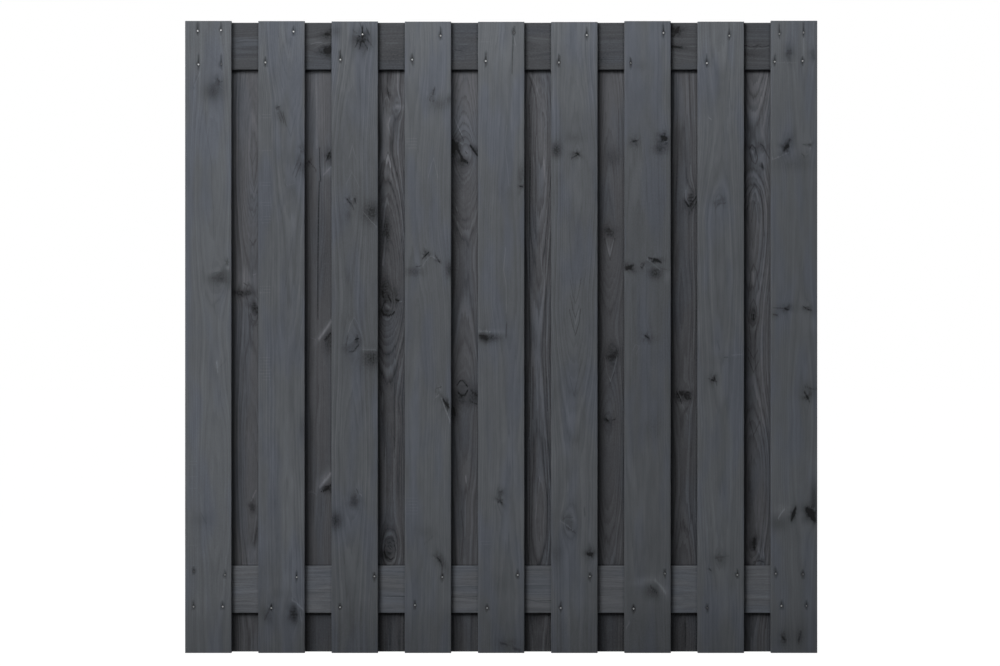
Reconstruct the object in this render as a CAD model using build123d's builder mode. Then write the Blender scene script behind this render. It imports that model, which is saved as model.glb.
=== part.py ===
"""A closed-board fence panel: front and back boards nailed to two rails, in millimetres.

Upright boards stand in two layers. The front layer has its boards spaced apart, and the back
layer's boards stand behind the gaps and lap the front ones, so that nobody sees through. Two
flat rails lie between the layers, one at the top and one a little above the ground. Nails are
driven through each board into both rails.

+X runs to the right along the panel, +Y from the front to the back, and +Z up. The origin is at
the middle of the panel's foot, halfway through the rails.
"""

from build123d import *

import os

# The panel as a whole
PANEL_WIDTH = 1800.0
PANEL_HEIGHT = 1800.0
FRONT_BOARD_COUNT = 9

# The planks that it is cut from
BOARD_WIDTH = 132.0
BOARD_THICKNESS = 15.0
RAIL_WIDTH = 134.0
RAIL_THICKNESS = 15.0
EASED_EDGE = 1.5  # radius planed along every long edge

# Where the rails lie
TOP_RAIL_DROP = 3.5  # from the top of the panel down to the rail
BOTTOM_RAIL_LIFT = 112.0  # from the ground up to the rail
RAIL_END_GAP = 1.0  # each rail stops this much short of the panel's side

# How unevenly the boards were cross-cut: how far each top stays below the panel's height
FRONT_BOARD_SHORT_BY = (0.5, 1.0, 2.0, 2.5, 3.0, 3.5, 1.0, 2.5, 0.0)
BACK_BOARD_SHORT_BY = (3.0, 2.0, 4.0, 2.5, 3.5, 2.0, 4.5, 3.0)

# The nails
NAIL_SHANK_DIAMETER = 2.1
NAIL_HEAD_DIAMETER = 5.0
NAIL_HEAD_THICKNESS = 1.0
NAIL_POINT_LENGTH = 3.5
NAIL_SINK = 0.8  # how deep the nailer drove each head below the board's face
NAIL_TIP_COVER = 2.2  # wood left beyond the point, so that it never breaks through the rail
SHANK_CLEARANCE = 0.02  # around the shank and under the point
HEAD_CLEARANCE = 0.2  # around the head, in the pit that it punched

# Where the nails were struck in the front boards, as insets from the board's long edge and from
# the rail's long edge. Every crossing has one nail at the upper right and one at the lower left.
FRONT_NAIL_INSETS = {
    ("top", "upper_right"): (
        (30, 23), (32, 27), (44, 35), (30, 39), (30, 31), (31, 37), (21, 31), (42, 39), (39, 30),
    ),
    ("top", "lower_left"): (
        (38, 13), (20, 19), (25, 27), (21, 27), (22, 23), (22, 19), (18, 17), (26, 17), (11, 21),
    ),
    ("bottom", "upper_right"): (
        (18, 24), (23, 30), (10, 28), (25, 30), (19, 24), (22, 28), (17, 20), (19, 24), (41, 22),
    ),
    ("bottom", "lower_left"): (
        (24, 20), (37, 16), (24, 18), (29, 24), (26, 16), (27, 16), (26, 14), (27, 16), (30, 22),
    ),
}

# The first and the last board carry the rails' ends, and have nails at the other corners too
END_NAIL_INSETS = {
    ("top", "upper_left"): ((36, 25), (24, 34)),
    ("top", "lower_right"): ((29, 15), (42, 23)),
    ("bottom", "upper_left"): ((25, 14), (14, 20)),
    ("bottom", "lower_right"): ((25, 20), (31, 22)),
}

# The back boards' nails stand in the gaps between the front boards, clear of the front nails
BACK_NAIL_PAST_LAP = 9.0  # from the edge of the lap
BACK_NAIL_RAIL_INSET = 26.0
BACK_NAIL_DRIFT = (0.0, 3.0, -4.0, 2.0, -2.0, 5.0, -3.0, 1.0)  # up or down, from board to board

# Places worked out from the sizes
board_gap = (PANEL_WIDTH - FRONT_BOARD_COUNT * BOARD_WIDTH) / (FRONT_BOARD_COUNT - 1)
board_pitch = BOARD_WIDTH + board_gap
board_lap = (BOARD_WIDTH - board_gap) / 2
layer_offset = (RAIL_THICKNESS + BOARD_THICKNESS) / 2  # from the rails to a layer of boards
face_offset = RAIL_THICKNESS / 2 + BOARD_THICKNESS  # from the rails to the panel's faces
nail_length = BOARD_THICKNESS + RAIL_THICKNESS - NAIL_SINK - NAIL_TIP_COVER
back_nail_side_inset = board_lap + BACK_NAIL_PAST_LAP
rail_middles = {
    "top": PANEL_HEIGHT - TOP_RAIL_DROP - RAIL_WIDTH / 2,
    "bottom": BOTTOM_RAIL_LIFT + RAIL_WIDTH / 2,
}
corners = {
    "upper_left": (-1, 1),
    "upper_right": (1, 1),
    "lower_left": (-1, -1),
    "lower_right": (1, -1),
}


def front_board_x(index):
    """The middle of a front board, counted from the left."""
    return -PANEL_WIDTH / 2 + BOARD_WIDTH / 2 + index * board_pitch


def back_board_x(index):
    """The middle of a back board, which stands behind the middle of a gap."""
    return front_board_x(index) + board_pitch / 2


def nail_spot(board_x, rail, corner, side_inset, rail_inset):
    """The place of one nail, set in from a corner of where a board crosses a rail."""
    across, up = corners[corner]
    x = board_x + across * (BOARD_WIDTH / 2 - side_inset)
    z = rail_middles[rail] + up * (RAIL_WIDTH / 2 - rail_inset)
    return x, z


def front_nail_spots(index, rail):
    """Where one front board is nailed to one rail."""
    x = front_board_x(index)
    spots = []
    for corner in ("upper_right", "lower_left"):
        insets = FRONT_NAIL_INSETS[rail, corner]
        spots.append(nail_spot(x, rail, corner, *insets[index % len(insets)]))
    if index in (0, FRONT_BOARD_COUNT - 1):
        for corner in ("upper_left", "lower_right"):
            insets = END_NAIL_INSETS[rail, corner][0 if index == 0 else -1]
            spots.append(nail_spot(x, rail, corner, *insets))
    return spots


def back_nail_spots(index, rail):
    """Where one back board is nailed to one rail."""
    x = back_board_x(index)
    drift = BACK_NAIL_DRIFT[index % len(BACK_NAIL_DRIFT)]
    return [
        nail_spot(x, rail, "upper_left", back_nail_side_inset, BACK_NAIL_RAIL_INSET + drift),
        nail_spot(x, rail, "lower_right", back_nail_side_inset, BACK_NAIL_RAIL_INSET - drift),
    ]


def front_places(spots):
    """Places on the front face, where local +Z is the way out of the wood."""
    return [Location(Plane((x, -face_offset, z), x_dir=(1, 0, 0), z_dir=(0, -1, 0))) for x, z in spots]


def back_places(spots):
    """Places on the back face, where local +Z is the way out of the wood."""
    return [Location(Plane((x, face_offset, z), x_dir=(-1, 0, 0), z_dir=(0, 1, 0))) for x, z in spots]


# One nail, with its axis along Z and the wood's face at Z 0
head_top = -NAIL_SINK
head_bottom = head_top - NAIL_HEAD_THICKNESS
nail_tip = head_top - nail_length
shank_radius = NAIL_SHANK_DIAMETER / 2
head_radius = NAIL_HEAD_DIAMETER / 2
with BuildPart() as nail:
    with BuildSketch(Plane.XZ):
        with BuildLine():
            Polyline(
                (0, nail_tip),
                (shank_radius, nail_tip + NAIL_POINT_LENGTH),
                (shank_radius, head_bottom),
                (head_radius, head_bottom),
                (head_radius, head_top),
                (0, head_top),
                close=True,
            )
        make_face()
    revolve(axis=Axis.Z)

# The hole that the shank is driven into, and the pit that its head punched in the face
hole_tip = nail_tip - SHANK_CLEARANCE
hole_radius = shank_radius + SHANK_CLEARANCE
pit_radius = head_radius + HEAD_CLEARANCE
pit_top = NAIL_SINK  # as far above the face as the head is below it, so that the cut is open
with BuildPart() as nail_hole:
    with BuildSketch(Plane.XZ):
        with BuildLine():
            Polyline(
                (0, hole_tip),
                (hole_radius, nail_tip + NAIL_POINT_LENGTH),
                (hole_radius, head_bottom),
                (pit_radius, head_bottom),
                (pit_radius, pit_top),
                (0, pit_top),
                close=True,
            )
        make_face()
    revolve(axis=Axis.Z)


def make_board(x, y, height, nail_places):
    """An upright board with eased long edges, standing on the ground, with its nail holes."""
    with BuildPart() as board:
        with BuildSketch(Plane((x, y, 0))):
            RectangleRounded(BOARD_WIDTH, BOARD_THICKNESS, EASED_EDGE)
        extrude(amount=height)
        with Locations(*nail_places):
            add(nail_hole.part, mode=Mode.SUBTRACT)
    return board.part


def make_rail(middle_z, nail_places):
    """A flat rail with eased long edges, with the holes of all the nails driven into it."""
    rail_length = PANEL_WIDTH - 2 * RAIL_END_GAP
    left_end = Plane((-rail_length / 2, 0, middle_z), x_dir=(0, 1, 0), z_dir=(1, 0, 0))
    with BuildPart() as rail:
        with BuildSketch(left_end):
            RectangleRounded(RAIL_THICKNESS, RAIL_WIDTH, EASED_EDGE)
        extrude(amount=rail_length)
        with Locations(*nail_places):
            add(nail_hole.part, mode=Mode.SUBTRACT)
    return rail.part


def make_nails(nail_places):
    """One nail at each place, as separate solids."""
    with BuildPart() as nails:
        with Locations(*nail_places):
            add(nail.part)
    return nails.part


def save(piece, name):
    """Label a finished piece and write it to its own file."""
    piece.label = name
    export_step(piece, f"parts/{name}.step")


os.makedirs("parts", exist_ok=True)
front_nails = {rail: [] for rail in rail_middles}
back_nails = {rail: [] for rail in rail_middles}

for index in range(FRONT_BOARD_COUNT):
    holes = []
    for rail in rail_middles:
        places = front_places(front_nail_spots(index, rail))
        front_nails[rail] += places
        holes += places
    height = PANEL_HEIGHT - FRONT_BOARD_SHORT_BY[index % len(FRONT_BOARD_SHORT_BY)]
    board = make_board(front_board_x(index), -layer_offset, height, holes)
    save(board, f"front_board_{index + 1}")

for index in range(FRONT_BOARD_COUNT - 1):
    holes = []
    for rail in rail_middles:
        places = back_places(back_nail_spots(index, rail))
        back_nails[rail] += places
        holes += places
    height = PANEL_HEIGHT - BACK_BOARD_SHORT_BY[index % len(BACK_BOARD_SHORT_BY)]
    board = make_board(back_board_x(index), layer_offset, height, holes)
    save(board, f"back_board_{index + 1}")

for rail, middle_z in rail_middles.items():
    save(make_rail(middle_z, front_nails[rail] + back_nails[rail]), f"{rail}_rail")
    save(make_nails(front_nails[rail]), f"front_nails_{rail}_rail")
    save(make_nails(back_nails[rail]), f"back_nails_{rail}_rail")

print(f"gap {board_gap:.2f} mm, lap {board_lap:.2f} mm, nail {nail_length:.1f} mm long")
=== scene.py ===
# %% [markdown]
# # A closed-board fence panel
#
# The real panel is sawn and planed softwood. Nine boards stand in front and eight behind, and two
# rails lie flat between the two layers. Everything was dipped in a thin black stain, so the growth
# rings, the knots and the nails still show through it. The sizes come from the construction model,
# which this file loads first and never changes: every piece made here is fitted to its box.

import math

import bmesh
import bpy
import numpy as np
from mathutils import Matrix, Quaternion, Vector
from mathutils.geometry import delaunay_2d_cdt


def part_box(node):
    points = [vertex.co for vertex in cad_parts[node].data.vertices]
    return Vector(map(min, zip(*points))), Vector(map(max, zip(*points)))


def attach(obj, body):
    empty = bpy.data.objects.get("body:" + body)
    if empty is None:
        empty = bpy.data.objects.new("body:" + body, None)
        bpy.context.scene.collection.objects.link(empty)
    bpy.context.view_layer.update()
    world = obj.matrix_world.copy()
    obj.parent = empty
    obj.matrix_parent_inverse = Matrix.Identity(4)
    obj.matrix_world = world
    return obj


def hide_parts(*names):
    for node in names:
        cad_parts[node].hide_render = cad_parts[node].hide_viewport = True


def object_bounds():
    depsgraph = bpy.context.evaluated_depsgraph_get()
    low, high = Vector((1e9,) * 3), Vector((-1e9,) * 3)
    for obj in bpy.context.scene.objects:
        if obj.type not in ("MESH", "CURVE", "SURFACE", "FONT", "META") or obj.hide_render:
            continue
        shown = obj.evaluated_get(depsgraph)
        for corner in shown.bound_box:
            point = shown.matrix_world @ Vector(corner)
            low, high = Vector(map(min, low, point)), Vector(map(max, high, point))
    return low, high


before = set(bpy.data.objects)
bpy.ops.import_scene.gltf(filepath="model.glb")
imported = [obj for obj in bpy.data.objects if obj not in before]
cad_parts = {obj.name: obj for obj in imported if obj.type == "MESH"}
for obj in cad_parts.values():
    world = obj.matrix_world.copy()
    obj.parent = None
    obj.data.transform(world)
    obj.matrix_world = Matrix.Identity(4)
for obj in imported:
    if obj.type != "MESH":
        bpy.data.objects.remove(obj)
cad_low, cad_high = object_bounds()
scene = bpy.context.scene
MM = 0.001
print(len(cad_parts), "pieces in a box of", [round(side, 3) for side in cad_high - cad_low])

# %% [markdown]
# ## A helper for node trees
#
# A finish is a tree of nodes, and the white world is one too. Making and linking each node takes three
# or four lines, and wood needs some ninety of them. This helper makes a node and links all its inputs in
# one line, so that a finish below reads like a sum.

# %% Node trees in few words
class Recipe:
    """The node tree of a material or a world, with short ways to add nodes to it."""

    def __init__(self, owner):
        owner.use_nodes = True
        self.owner = owner
        self.tree = owner.node_tree
        self.shader = self.tree.nodes.get("Principled BSDF") or self.tree.nodes["Background"]

    def node(self, kind, settings=None, **inputs):
        """A new node. An input goes by its name, or by its number after an underscore."""
        made = self.tree.nodes.new("ShaderNode" + kind)
        for key, value in (settings or {}).items():
            setattr(made, key, value)
        for key, value in inputs.items():
            self.feed(made.inputs[int(key[1:]) if key[1:].isdigit() else key.replace("_", " ")], value)
        return made

    def feed(self, socket, value):
        """Link a socket to another node's output, or give it a fixed value."""
        if isinstance(value, bpy.types.NodeSocket):
            self.tree.links.new(value, socket)
        else:
            socket.default_value = value

    def surface(self, **values):
        """Link or set some of the shader's own values."""
        for key, value in values.items():
            self.feed(self.shader.inputs[key.replace("_", " ")], value)

    def math(self, operation, first, second=0.0):
        return self.node("Math", {"operation": operation}, _0=first, _1=second).outputs[0]

    def plus(self, total, *values):
        for value in values:
            total = self.math("ADD", total, value)
        return total

    def times(self, first, second):
        return self.math("MULTIPLY", first, second)

    def fade(self, value, start, end, low=0.0, high=1.0, interpolation="SMOOTHSTEP"):
        """Turn a value from start to end into one from low to high."""
        made = self.node("MapRange", {"interpolation_type": interpolation}, Value=value)
        for name, limit in (("From Min", start), ("From Max", end), ("To Min", low), ("To Max", high)):
            made.inputs[name].default_value = limit
        return made.outputs["Result"]

    def swing(self, value, amount):
        """Turn a noise of 0 to 1 into a change of minus to plus an amount."""
        return self.times(self.math("SUBTRACT", value, 0.5), 2 * amount)

    def stored(self, name, kind="Fac"):
        """What a mesh keeps under a name at each of its points."""
        return self.node("Attribute", {"attribute_name": name}).outputs[kind]

    def place(self):
        return self.node("NewGeometry").outputs["Position"]

    def noise(self, vector, scale, shift=(0, 0, 0), detail=2.0, roughness=0.5):
        """A cloudy noise, with so many waves a metre along each direction."""
        bigger = self.node("VectorMath", {"operation": "MULTIPLY"}, _0=vector, _1=scale).outputs[0]
        moved = self.node("VectorMath", {"operation": "ADD"}, _0=bigger, _1=shift).outputs[0]
        made = self.node("TexNoise", Vector=moved, Scale=1.0, Detail=detail, Roughness=roughness)
        return made.outputs["Fac"]

    def blend(self, share, first, second):
        """One colour that goes over into another."""
        made = self.node("Mix", {"data_type": "RGBA"}, Factor=share, _6=(*first, 1), _7=(*second, 1))
        return made.outputs[2]

    def lit(self, colour, light):
        """A colour made lighter or darker."""
        return self.node("VectorMath", {"operation": "SCALE"}, _0=colour, Scale=light).outputs[0]

    def relief(self, height, strength, distance):
        """Small bumps, as the direction that the surface faces."""
        return self.node("Bump", Strength=strength, Distance=distance, Height=height).outputs[0]

    def seen(self):
        """1 where the camera, a mirror or glass looks, and 0 where only light falls."""
        sight = self.node("LightPath").outputs
        mirrored = self.math("MAXIMUM", sight["Is Camera Ray"], sight["Is Glossy Ray"])
        return self.math("MAXIMUM", mirrored, sight["Is Transmission Ray"])


# %% [markdown]
# ## The camera
#
# The panel was photographed square on, from about the middle of its height. From the little that the
# rails and the back boards shift against the front boards, the camera stood about 6.5 m away. A level
# camera keeps the boards upright and parallel, so the lens does the framing and nothing is tilted.

# %% Place the camera
CAMERA_DISTANCE = 6.5
CAMERA_HEIGHT = 0.911
CAMERA_ASIDE = -0.0034
LENS_MM = 82.2

camera_data = bpy.data.cameras.new("camera")
camera_data.lens = LENS_MM
camera = bpy.data.objects.new("camera", camera_data)
camera.location = (CAMERA_ASIDE, cad_low.y - CAMERA_DISTANCE, CAMERA_HEIGHT)
camera.rotation_euler = (math.radians(90), 0, 0)
scene.collection.objects.link(camera)
scene.camera = camera
print("camera at", [round(place, 3) for place in camera.location])

# %% [markdown]
# ## The light
#
# The gaps show where the light comes from. Each back board is black beside the left edge of its gap
# and brightens over some 30 mm, as far as it lies behind the front, so the light is broad and comes
# from about 30 degrees on the left. The rails throw a thin shadow down, so it comes from above too. A
# large softbox with a grid over it does that: the grid keeps its light in a beam, which makes all the
# gaps alike. The softbox is rolled, because the panel is brighter at its upper right and lower left.
# A small lamp near the top adds the brighter heads. Another softbox lights the back for anyone who
# walks round.

# %% Lamps
def softbox(name, aim, away, left, up, size, watts, spread, roll=0):
    """A flat lamp some way from the point that it faces, turned to the left and raised by degrees."""
    lamp_data = bpy.data.lights.new(name, "AREA")
    lamp_data.shape = "RECTANGLE"
    lamp_data.size, lamp_data.size_y = size
    lamp_data.energy = watts
    lamp_data.spread = math.radians(spread)
    lamp = bpy.data.objects.new(name, lamp_data)
    left, up = math.radians(left), math.radians(up)
    outward = Vector((-math.sin(left) * math.cos(up), -math.cos(left) * math.cos(up), math.sin(up)))
    lamp.location = Vector(aim) + away * outward
    facing = (-outward).to_track_quat("-Z", "Y")
    lamp.rotation_euler = (facing @ Quaternion((0, 0, 1), math.radians(roll))).to_euler()
    scene.collection.objects.link(lamp)
    print(name, "at", [round(place, 2) for place in lamp.location])


softbox(
    "key_lamp", (0.0, 0, 0.8), away=3.2, left=33, up=30, size=(3.4, 2.0), watts=33.6, spread=75, roll=38,
)
softbox("head_lamp", (0.45, 0, 1.75), away=1.6, left=30, up=30, size=(1.6, 0.4), watts=6.5, spread=120)
softbox("back_lamp", (0, 0, 0.9), away=4.0, left=205, up=24, size=(3.4, 3.0), watts=60, spread=90)

# %% [markdown]
# ## The world
#
# The panel stands before plain white. A white world would also pour light into every gap, so the world
# is white only where the camera, a mirror or glass looks at it. As a light it is dim, and just fills
# the shadows.

# %% The world: white to look at, dim as a light
WORLD_FILL = 0.015

sky = Recipe(bpy.data.worlds.new("pale_world"))
sky.surface(Color=(1, 1, 1, 1), Strength=sky.fade(sky.seen(), 0, 1, WORLD_FILL, 1, "LINEAR"))
scene.world = sky.owner
scene.view_settings.view_transform = "Standard"
print("world fill", WORLD_FILL)

# %% [markdown]
# ## The floor
#
# The panel stands on a plain white floor that runs on to the horizon. A painted floor would grey out
# with distance from the lamps, so most of its white is a faint glow that only the camera, mirrors and
# glass see. The rest is ordinary pale paint, which keeps the panel's soft shadow and throws little
# light back up at the dark foot of the boards.

# %% Floor
FLOOR_SIZE = 60.0
FLOOR_PAINT = (0.15, 0.15, 0.15, 1)
GLOW_NEAR = 0.93
GLOW_GROWS = (1.2, 3.0)  # the glow reaches full white between these distances from the panel

white = Recipe(bpy.data.materials.new("white_floor"))
white.tree.nodes.remove(white.shader)
away = white.node("VectorMath", {"operation": "LENGTH"}, _0=white.place()).outputs["Value"]
glow = white.times(white.fade(away, *GLOW_GROWS, GLOW_NEAR, 1, "LINEAR"), white.seen())
paint = white.node("BsdfDiffuse", Color=FLOOR_PAINT).outputs[0]
shine = white.node("Emission", Strength=glow).outputs[0]
both = white.node("AddShader", _0=paint, _1=shine).outputs[0]
white.feed(white.tree.nodes["Material Output"].inputs["Surface"], both)

bpy.ops.mesh.primitive_plane_add(size=FLOOR_SIZE)
floor = bpy.context.object
floor.name = "floor"
floor.data.materials.append(white.owner)
print("floor of", FLOOR_SIZE, "m")

# %% [markdown]
# ## Where the nails are
#
# Each nail of the construction model is a separate solid inside its group. Splitting a group into its
# solids and taking the middle of each gives every nail's place, so the pits that the heads sit in are
# made where the nails really are. The solids are put in order, so that each run finds the same list.

# %% Find the nails
def separate_solids(node):
    """The lowest and highest corner of each solid of a construction piece."""
    mesh = bmesh.new()
    mesh.from_mesh(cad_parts[node].data)
    bmesh.ops.remove_doubles(mesh, verts=mesh.verts, dist=1e-6)
    waiting = set(mesh.verts)
    solids = []
    while waiting:
        spreading = [waiting.pop()]
        corners = []
        while spreading:
            vertex = spreading.pop()
            corners.append(vertex.co.copy())
            for edge in vertex.link_edges:
                other = edge.other_vert(vertex)
                if other in waiting:
                    waiting.remove(other)
                    spreading.append(other)
        corners = np.array(corners)
        solids.append((corners.min(0), corners.max(0)))
    mesh.free()
    return sorted(solids, key=lambda corners: tuple(corners[0].round(5)))


nails = {name: separate_solids(name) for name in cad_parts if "nails" in name}
print({group: len(solids) for group, solids in nails.items()})

# %% [markdown]
# ## How the wood grew
#
# Grain is not painted on: it is where the plank's faces cut the tree's yearly layers. So every plank
# gets a heart, the middle of its tree, as a path that wanders up past the plank. The distance from the
# heart, counted in ring widths, tells the year in which each point grew. Where the heart comes
# nearer the face, the rings open into arches, as on sawn planks.

# %% Smooth paths and slow waves
def glide(height, stops):
    """A smooth path through (height, value) stops, level at each stop."""
    heights, values = np.array(stops, float).T
    step = np.clip(np.searchsorted(heights, height) - 1, 0, len(heights) - 2)
    part = np.clip((height - heights[step]) / (heights[step + 1] - heights[step]), 0, 1)
    part = part * part * (3 - 2 * part)
    return values[step] * (1 - part) + values[step + 1] * part


def waver(height, seed, longest=0.9, shortest=0.12, count=7):
    """A slow, uneven wave between about -1 and 1, which never repeats along a plank."""
    draw = np.random.default_rng(seed)
    wave = np.zeros_like(height)
    for length in np.geomspace(longest, shortest, count):
        wave += (length / longest) ** 0.8 * np.sin(math.tau * (height / length + draw.random()))
    return wave / 2.2


# %% [markdown]
# ## How knots bend it
#
# A knot is a branch that runs out through the plank, slanting up from the heart. The fibres flow round
# it as water flows round a pile, and the layers swell over it, which closes the rings into eyes. No
# branch is quite round, so three small waves make each knot's outline uneven in its own way.

# %% Round a knot
KNOT_TALL = 1.15  # how much taller than wide a knot is where the face cuts it
KNOT_RISE = 0.4  # how steeply a branch climbs, as a share of how it slants
KNOT_FLOW = 2.4  # how much further the fibres bend along the plank than across it
KNOT_SWELL = 0.9  # how far the layers swell over a knot, in knot radii
KNOT_WAVES = (2, 1, 0.17), (3, -1, 0.12), (5, 0, 0.08)  # waves round it, share of its shift, and height
KNOT_SHIFT = 700


def from_knot(knot, across, through, along):
    """How far points are beside and above the middle of a knot, at their own depth in the plank."""
    knot_across, knot_along, _, slant, _ = knot
    return across - knot_across - slant * through, along - knot_along - KNOT_RISE * slant * through


def knot_reach(knot, across, through, along):
    """How far points are from a knot's middle, in radii of its uneven outline, and in which direction."""
    aside, above = from_knot(knot, across, through, along)
    above = above / KNOT_TALL
    turn = np.arctan2(above, aside)
    shift = KNOT_SHIFT * knot[1]
    uneven = sum((high * np.sin(waves * turn + share * shift) for waves, share, high in KNOT_WAVES), start=1)
    return np.hypot(aside, above) / (knot[2] * uneven), turn


# %% Follow the growth at any point of a plank
HEART_WANDERS = 2.5 * MM, 1.5 * MM  # across and through
UNROUND = 0.03


def growth(plank, across, through, along):
    """The year, the fibre that passes and the nearest knot, at points of a plank."""
    fibre = across.copy()
    swell = np.zeros_like(across)
    nearest = np.full_like(across, 9.0)
    for knot in plank["knots"]:
        radius, dark = knot[2], knot[4]
        aside, above = from_knot(knot, across, through, along)
        bend = np.hypot(aside, above / KNOT_FLOW) / radius
        fibre -= aside / np.maximum(bend, 1.0) ** 2
        swell += radius * KNOT_SWELL * np.exp(-((bend / 1.7) ** 2))
        reach, _ = knot_reach(knot, across, through, along)
        nearest = np.minimum(nearest, reach + 0.6 * (0.8 - dark))
    heart = []
    for part, wander in enumerate(HEART_WANDERS):
        path = glide(along, [(stop[0], stop[1 + part]) for stop in plank["heart"]])
        heart.append(path + wander * waver(along, plank["seed"] + part))
    aside = fibre - heart[0]
    inward = heart[1] - through
    turn = np.arctan2(aside, inward)
    distance = np.hypot(aside, inward) * (1 + UNROUND * np.sin(3 * turn + plank["seed"]))
    return (distance - swell) / plank["ring"], fibre, nearest


# %% [markdown]
# ## The boards' own knots
#
# The photo shows which knots each board has, and stained wood is known by them. They could be strewn at
# random, but then it would be another panel. So they are listed board by board, in millimetres from
# the board's left edge and above its foot. A rail's are counted from its lower edge and its left end.

# %% Knots: across, up, radius, and how dark, from 0 for plain to 1 for black
KNOTS = {
    "front_board_1": [(92, 1630, 6, 0.5), (95, 1070, 13, 0.6), (120, 1112, 4, 0.8)],
    "front_board_2": [(55, 1552, 4, 0.5), (126, 1435, 6, 0.6), (100, 112, 9, 0.5), (38, 130, 5, 0.7)],
    "front_board_3": [
        (88, 1752, 10, 0.6), (50, 1287, 5, 0.6), (66, 1290, 4, 0.5), (60, 872, 11, 0.5),
        (72, 895, 4, 0.9), (65, 435, 9, 0.4),
    ],
    "front_board_4": [
        (79, 1590, 7, 0.4), (57, 1132, 4, 0.7), (96, 1117, 4, 0.6), (97, 742, 6, 0.4),
        (120, 707, 6, 0.9), (91, 273, 5, 0.6),
    ],
    "front_board_5": [(124, 1328, 5, 0.5), (15, 900, 8, 0.35), (63, 434, 7, 0.8)],
    "front_board_6": [(75, 1422, 5, 0.9), (50, 372, 12, 0.2), (111, 281, 6, 0.8)],
    "front_board_7": [
        (29, 1457, 5, 0.5), (113, 1466, 7, 0.9), (12, 1098, 5, 0.7), (52, 1103, 4, 0.5),
        (88, 1118, 5, 0.6), (64, 901, 5, 0.6),
    ],
    "front_board_8": [(60, 1284, 7, 0.3), (45, 780, 5, 0.7), (62, 270, 6, 0.3), (34, 238, 3, 0.6)],
    "front_board_9": [
        (52, 1710, 6, 0.5), (120, 1702, 5, 0.3), (42, 1438, 8, 0.7), (110, 1446, 5, 0.6),
        (45, 979, 6, 0.7), (103, 981, 5, 0.5), (102, 728, 6, 0.8), (64, 396, 5, 0.8),
        (113, 397, 10, 0.9), (37, 40, 6, 0.4),
    ],
    "back_board_1": [(48, 1025, 6, 0.7), (73, 1027, 6, 0.6), (91, 982, 9, 0.7), (84, 413, 6, 0.4)],
    "back_board_2": [(38, 1400, 4, 0.7), (96, 1418, 7, 0.6), (88, 468, 6, 0.5)],
    "back_board_3": [(82, 1560, 8, 0.3), (53, 985, 14, 0.2), (82, 1003, 4, 0.8), (60, 292, 15, 0.2)],
    "back_board_4": [(70, 1428, 16, 0.15), (39, 1446, 8, 0.8), (60, 748, 12, 0.3)],
    "back_board_6": [(62, 1200, 7, 0.4), (74, 845, 8, 0.5), (55, 661, 5, 0.5)],
    "back_board_7": [(86, 1300, 8, 0.5), (53, 735, 6, 0.5), (76, 736, 7, 0.45)],
    "back_board_8": [
        (56, 1438, 6, 0.4), (84, 1442, 6, 0.4), (83, 1387, 4, 0.8), (58, 958, 7, 0.5),
        (58, 308, 8, 0.6), (82, 259, 5, 0.6),
    ],
    "top_rail": [(102, 405, 6, 0.35), (54, 405, 8, 0.5), (112, 1400, 7, 0.4), (66, 1626, 4, 0.3)],
}
print(sum(map(len, KNOTS.values())), "knots")

# %% [markdown]
# ## Soft patches
#
# Where resin or cross grain lies at the surface, the wood took more stain or less. That gives soft dark
# clouds beside many knots, and pale ones where the grain rises steeply. Each is an ellipse that fades
# out, which is enough for a thing without an edge.

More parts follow.
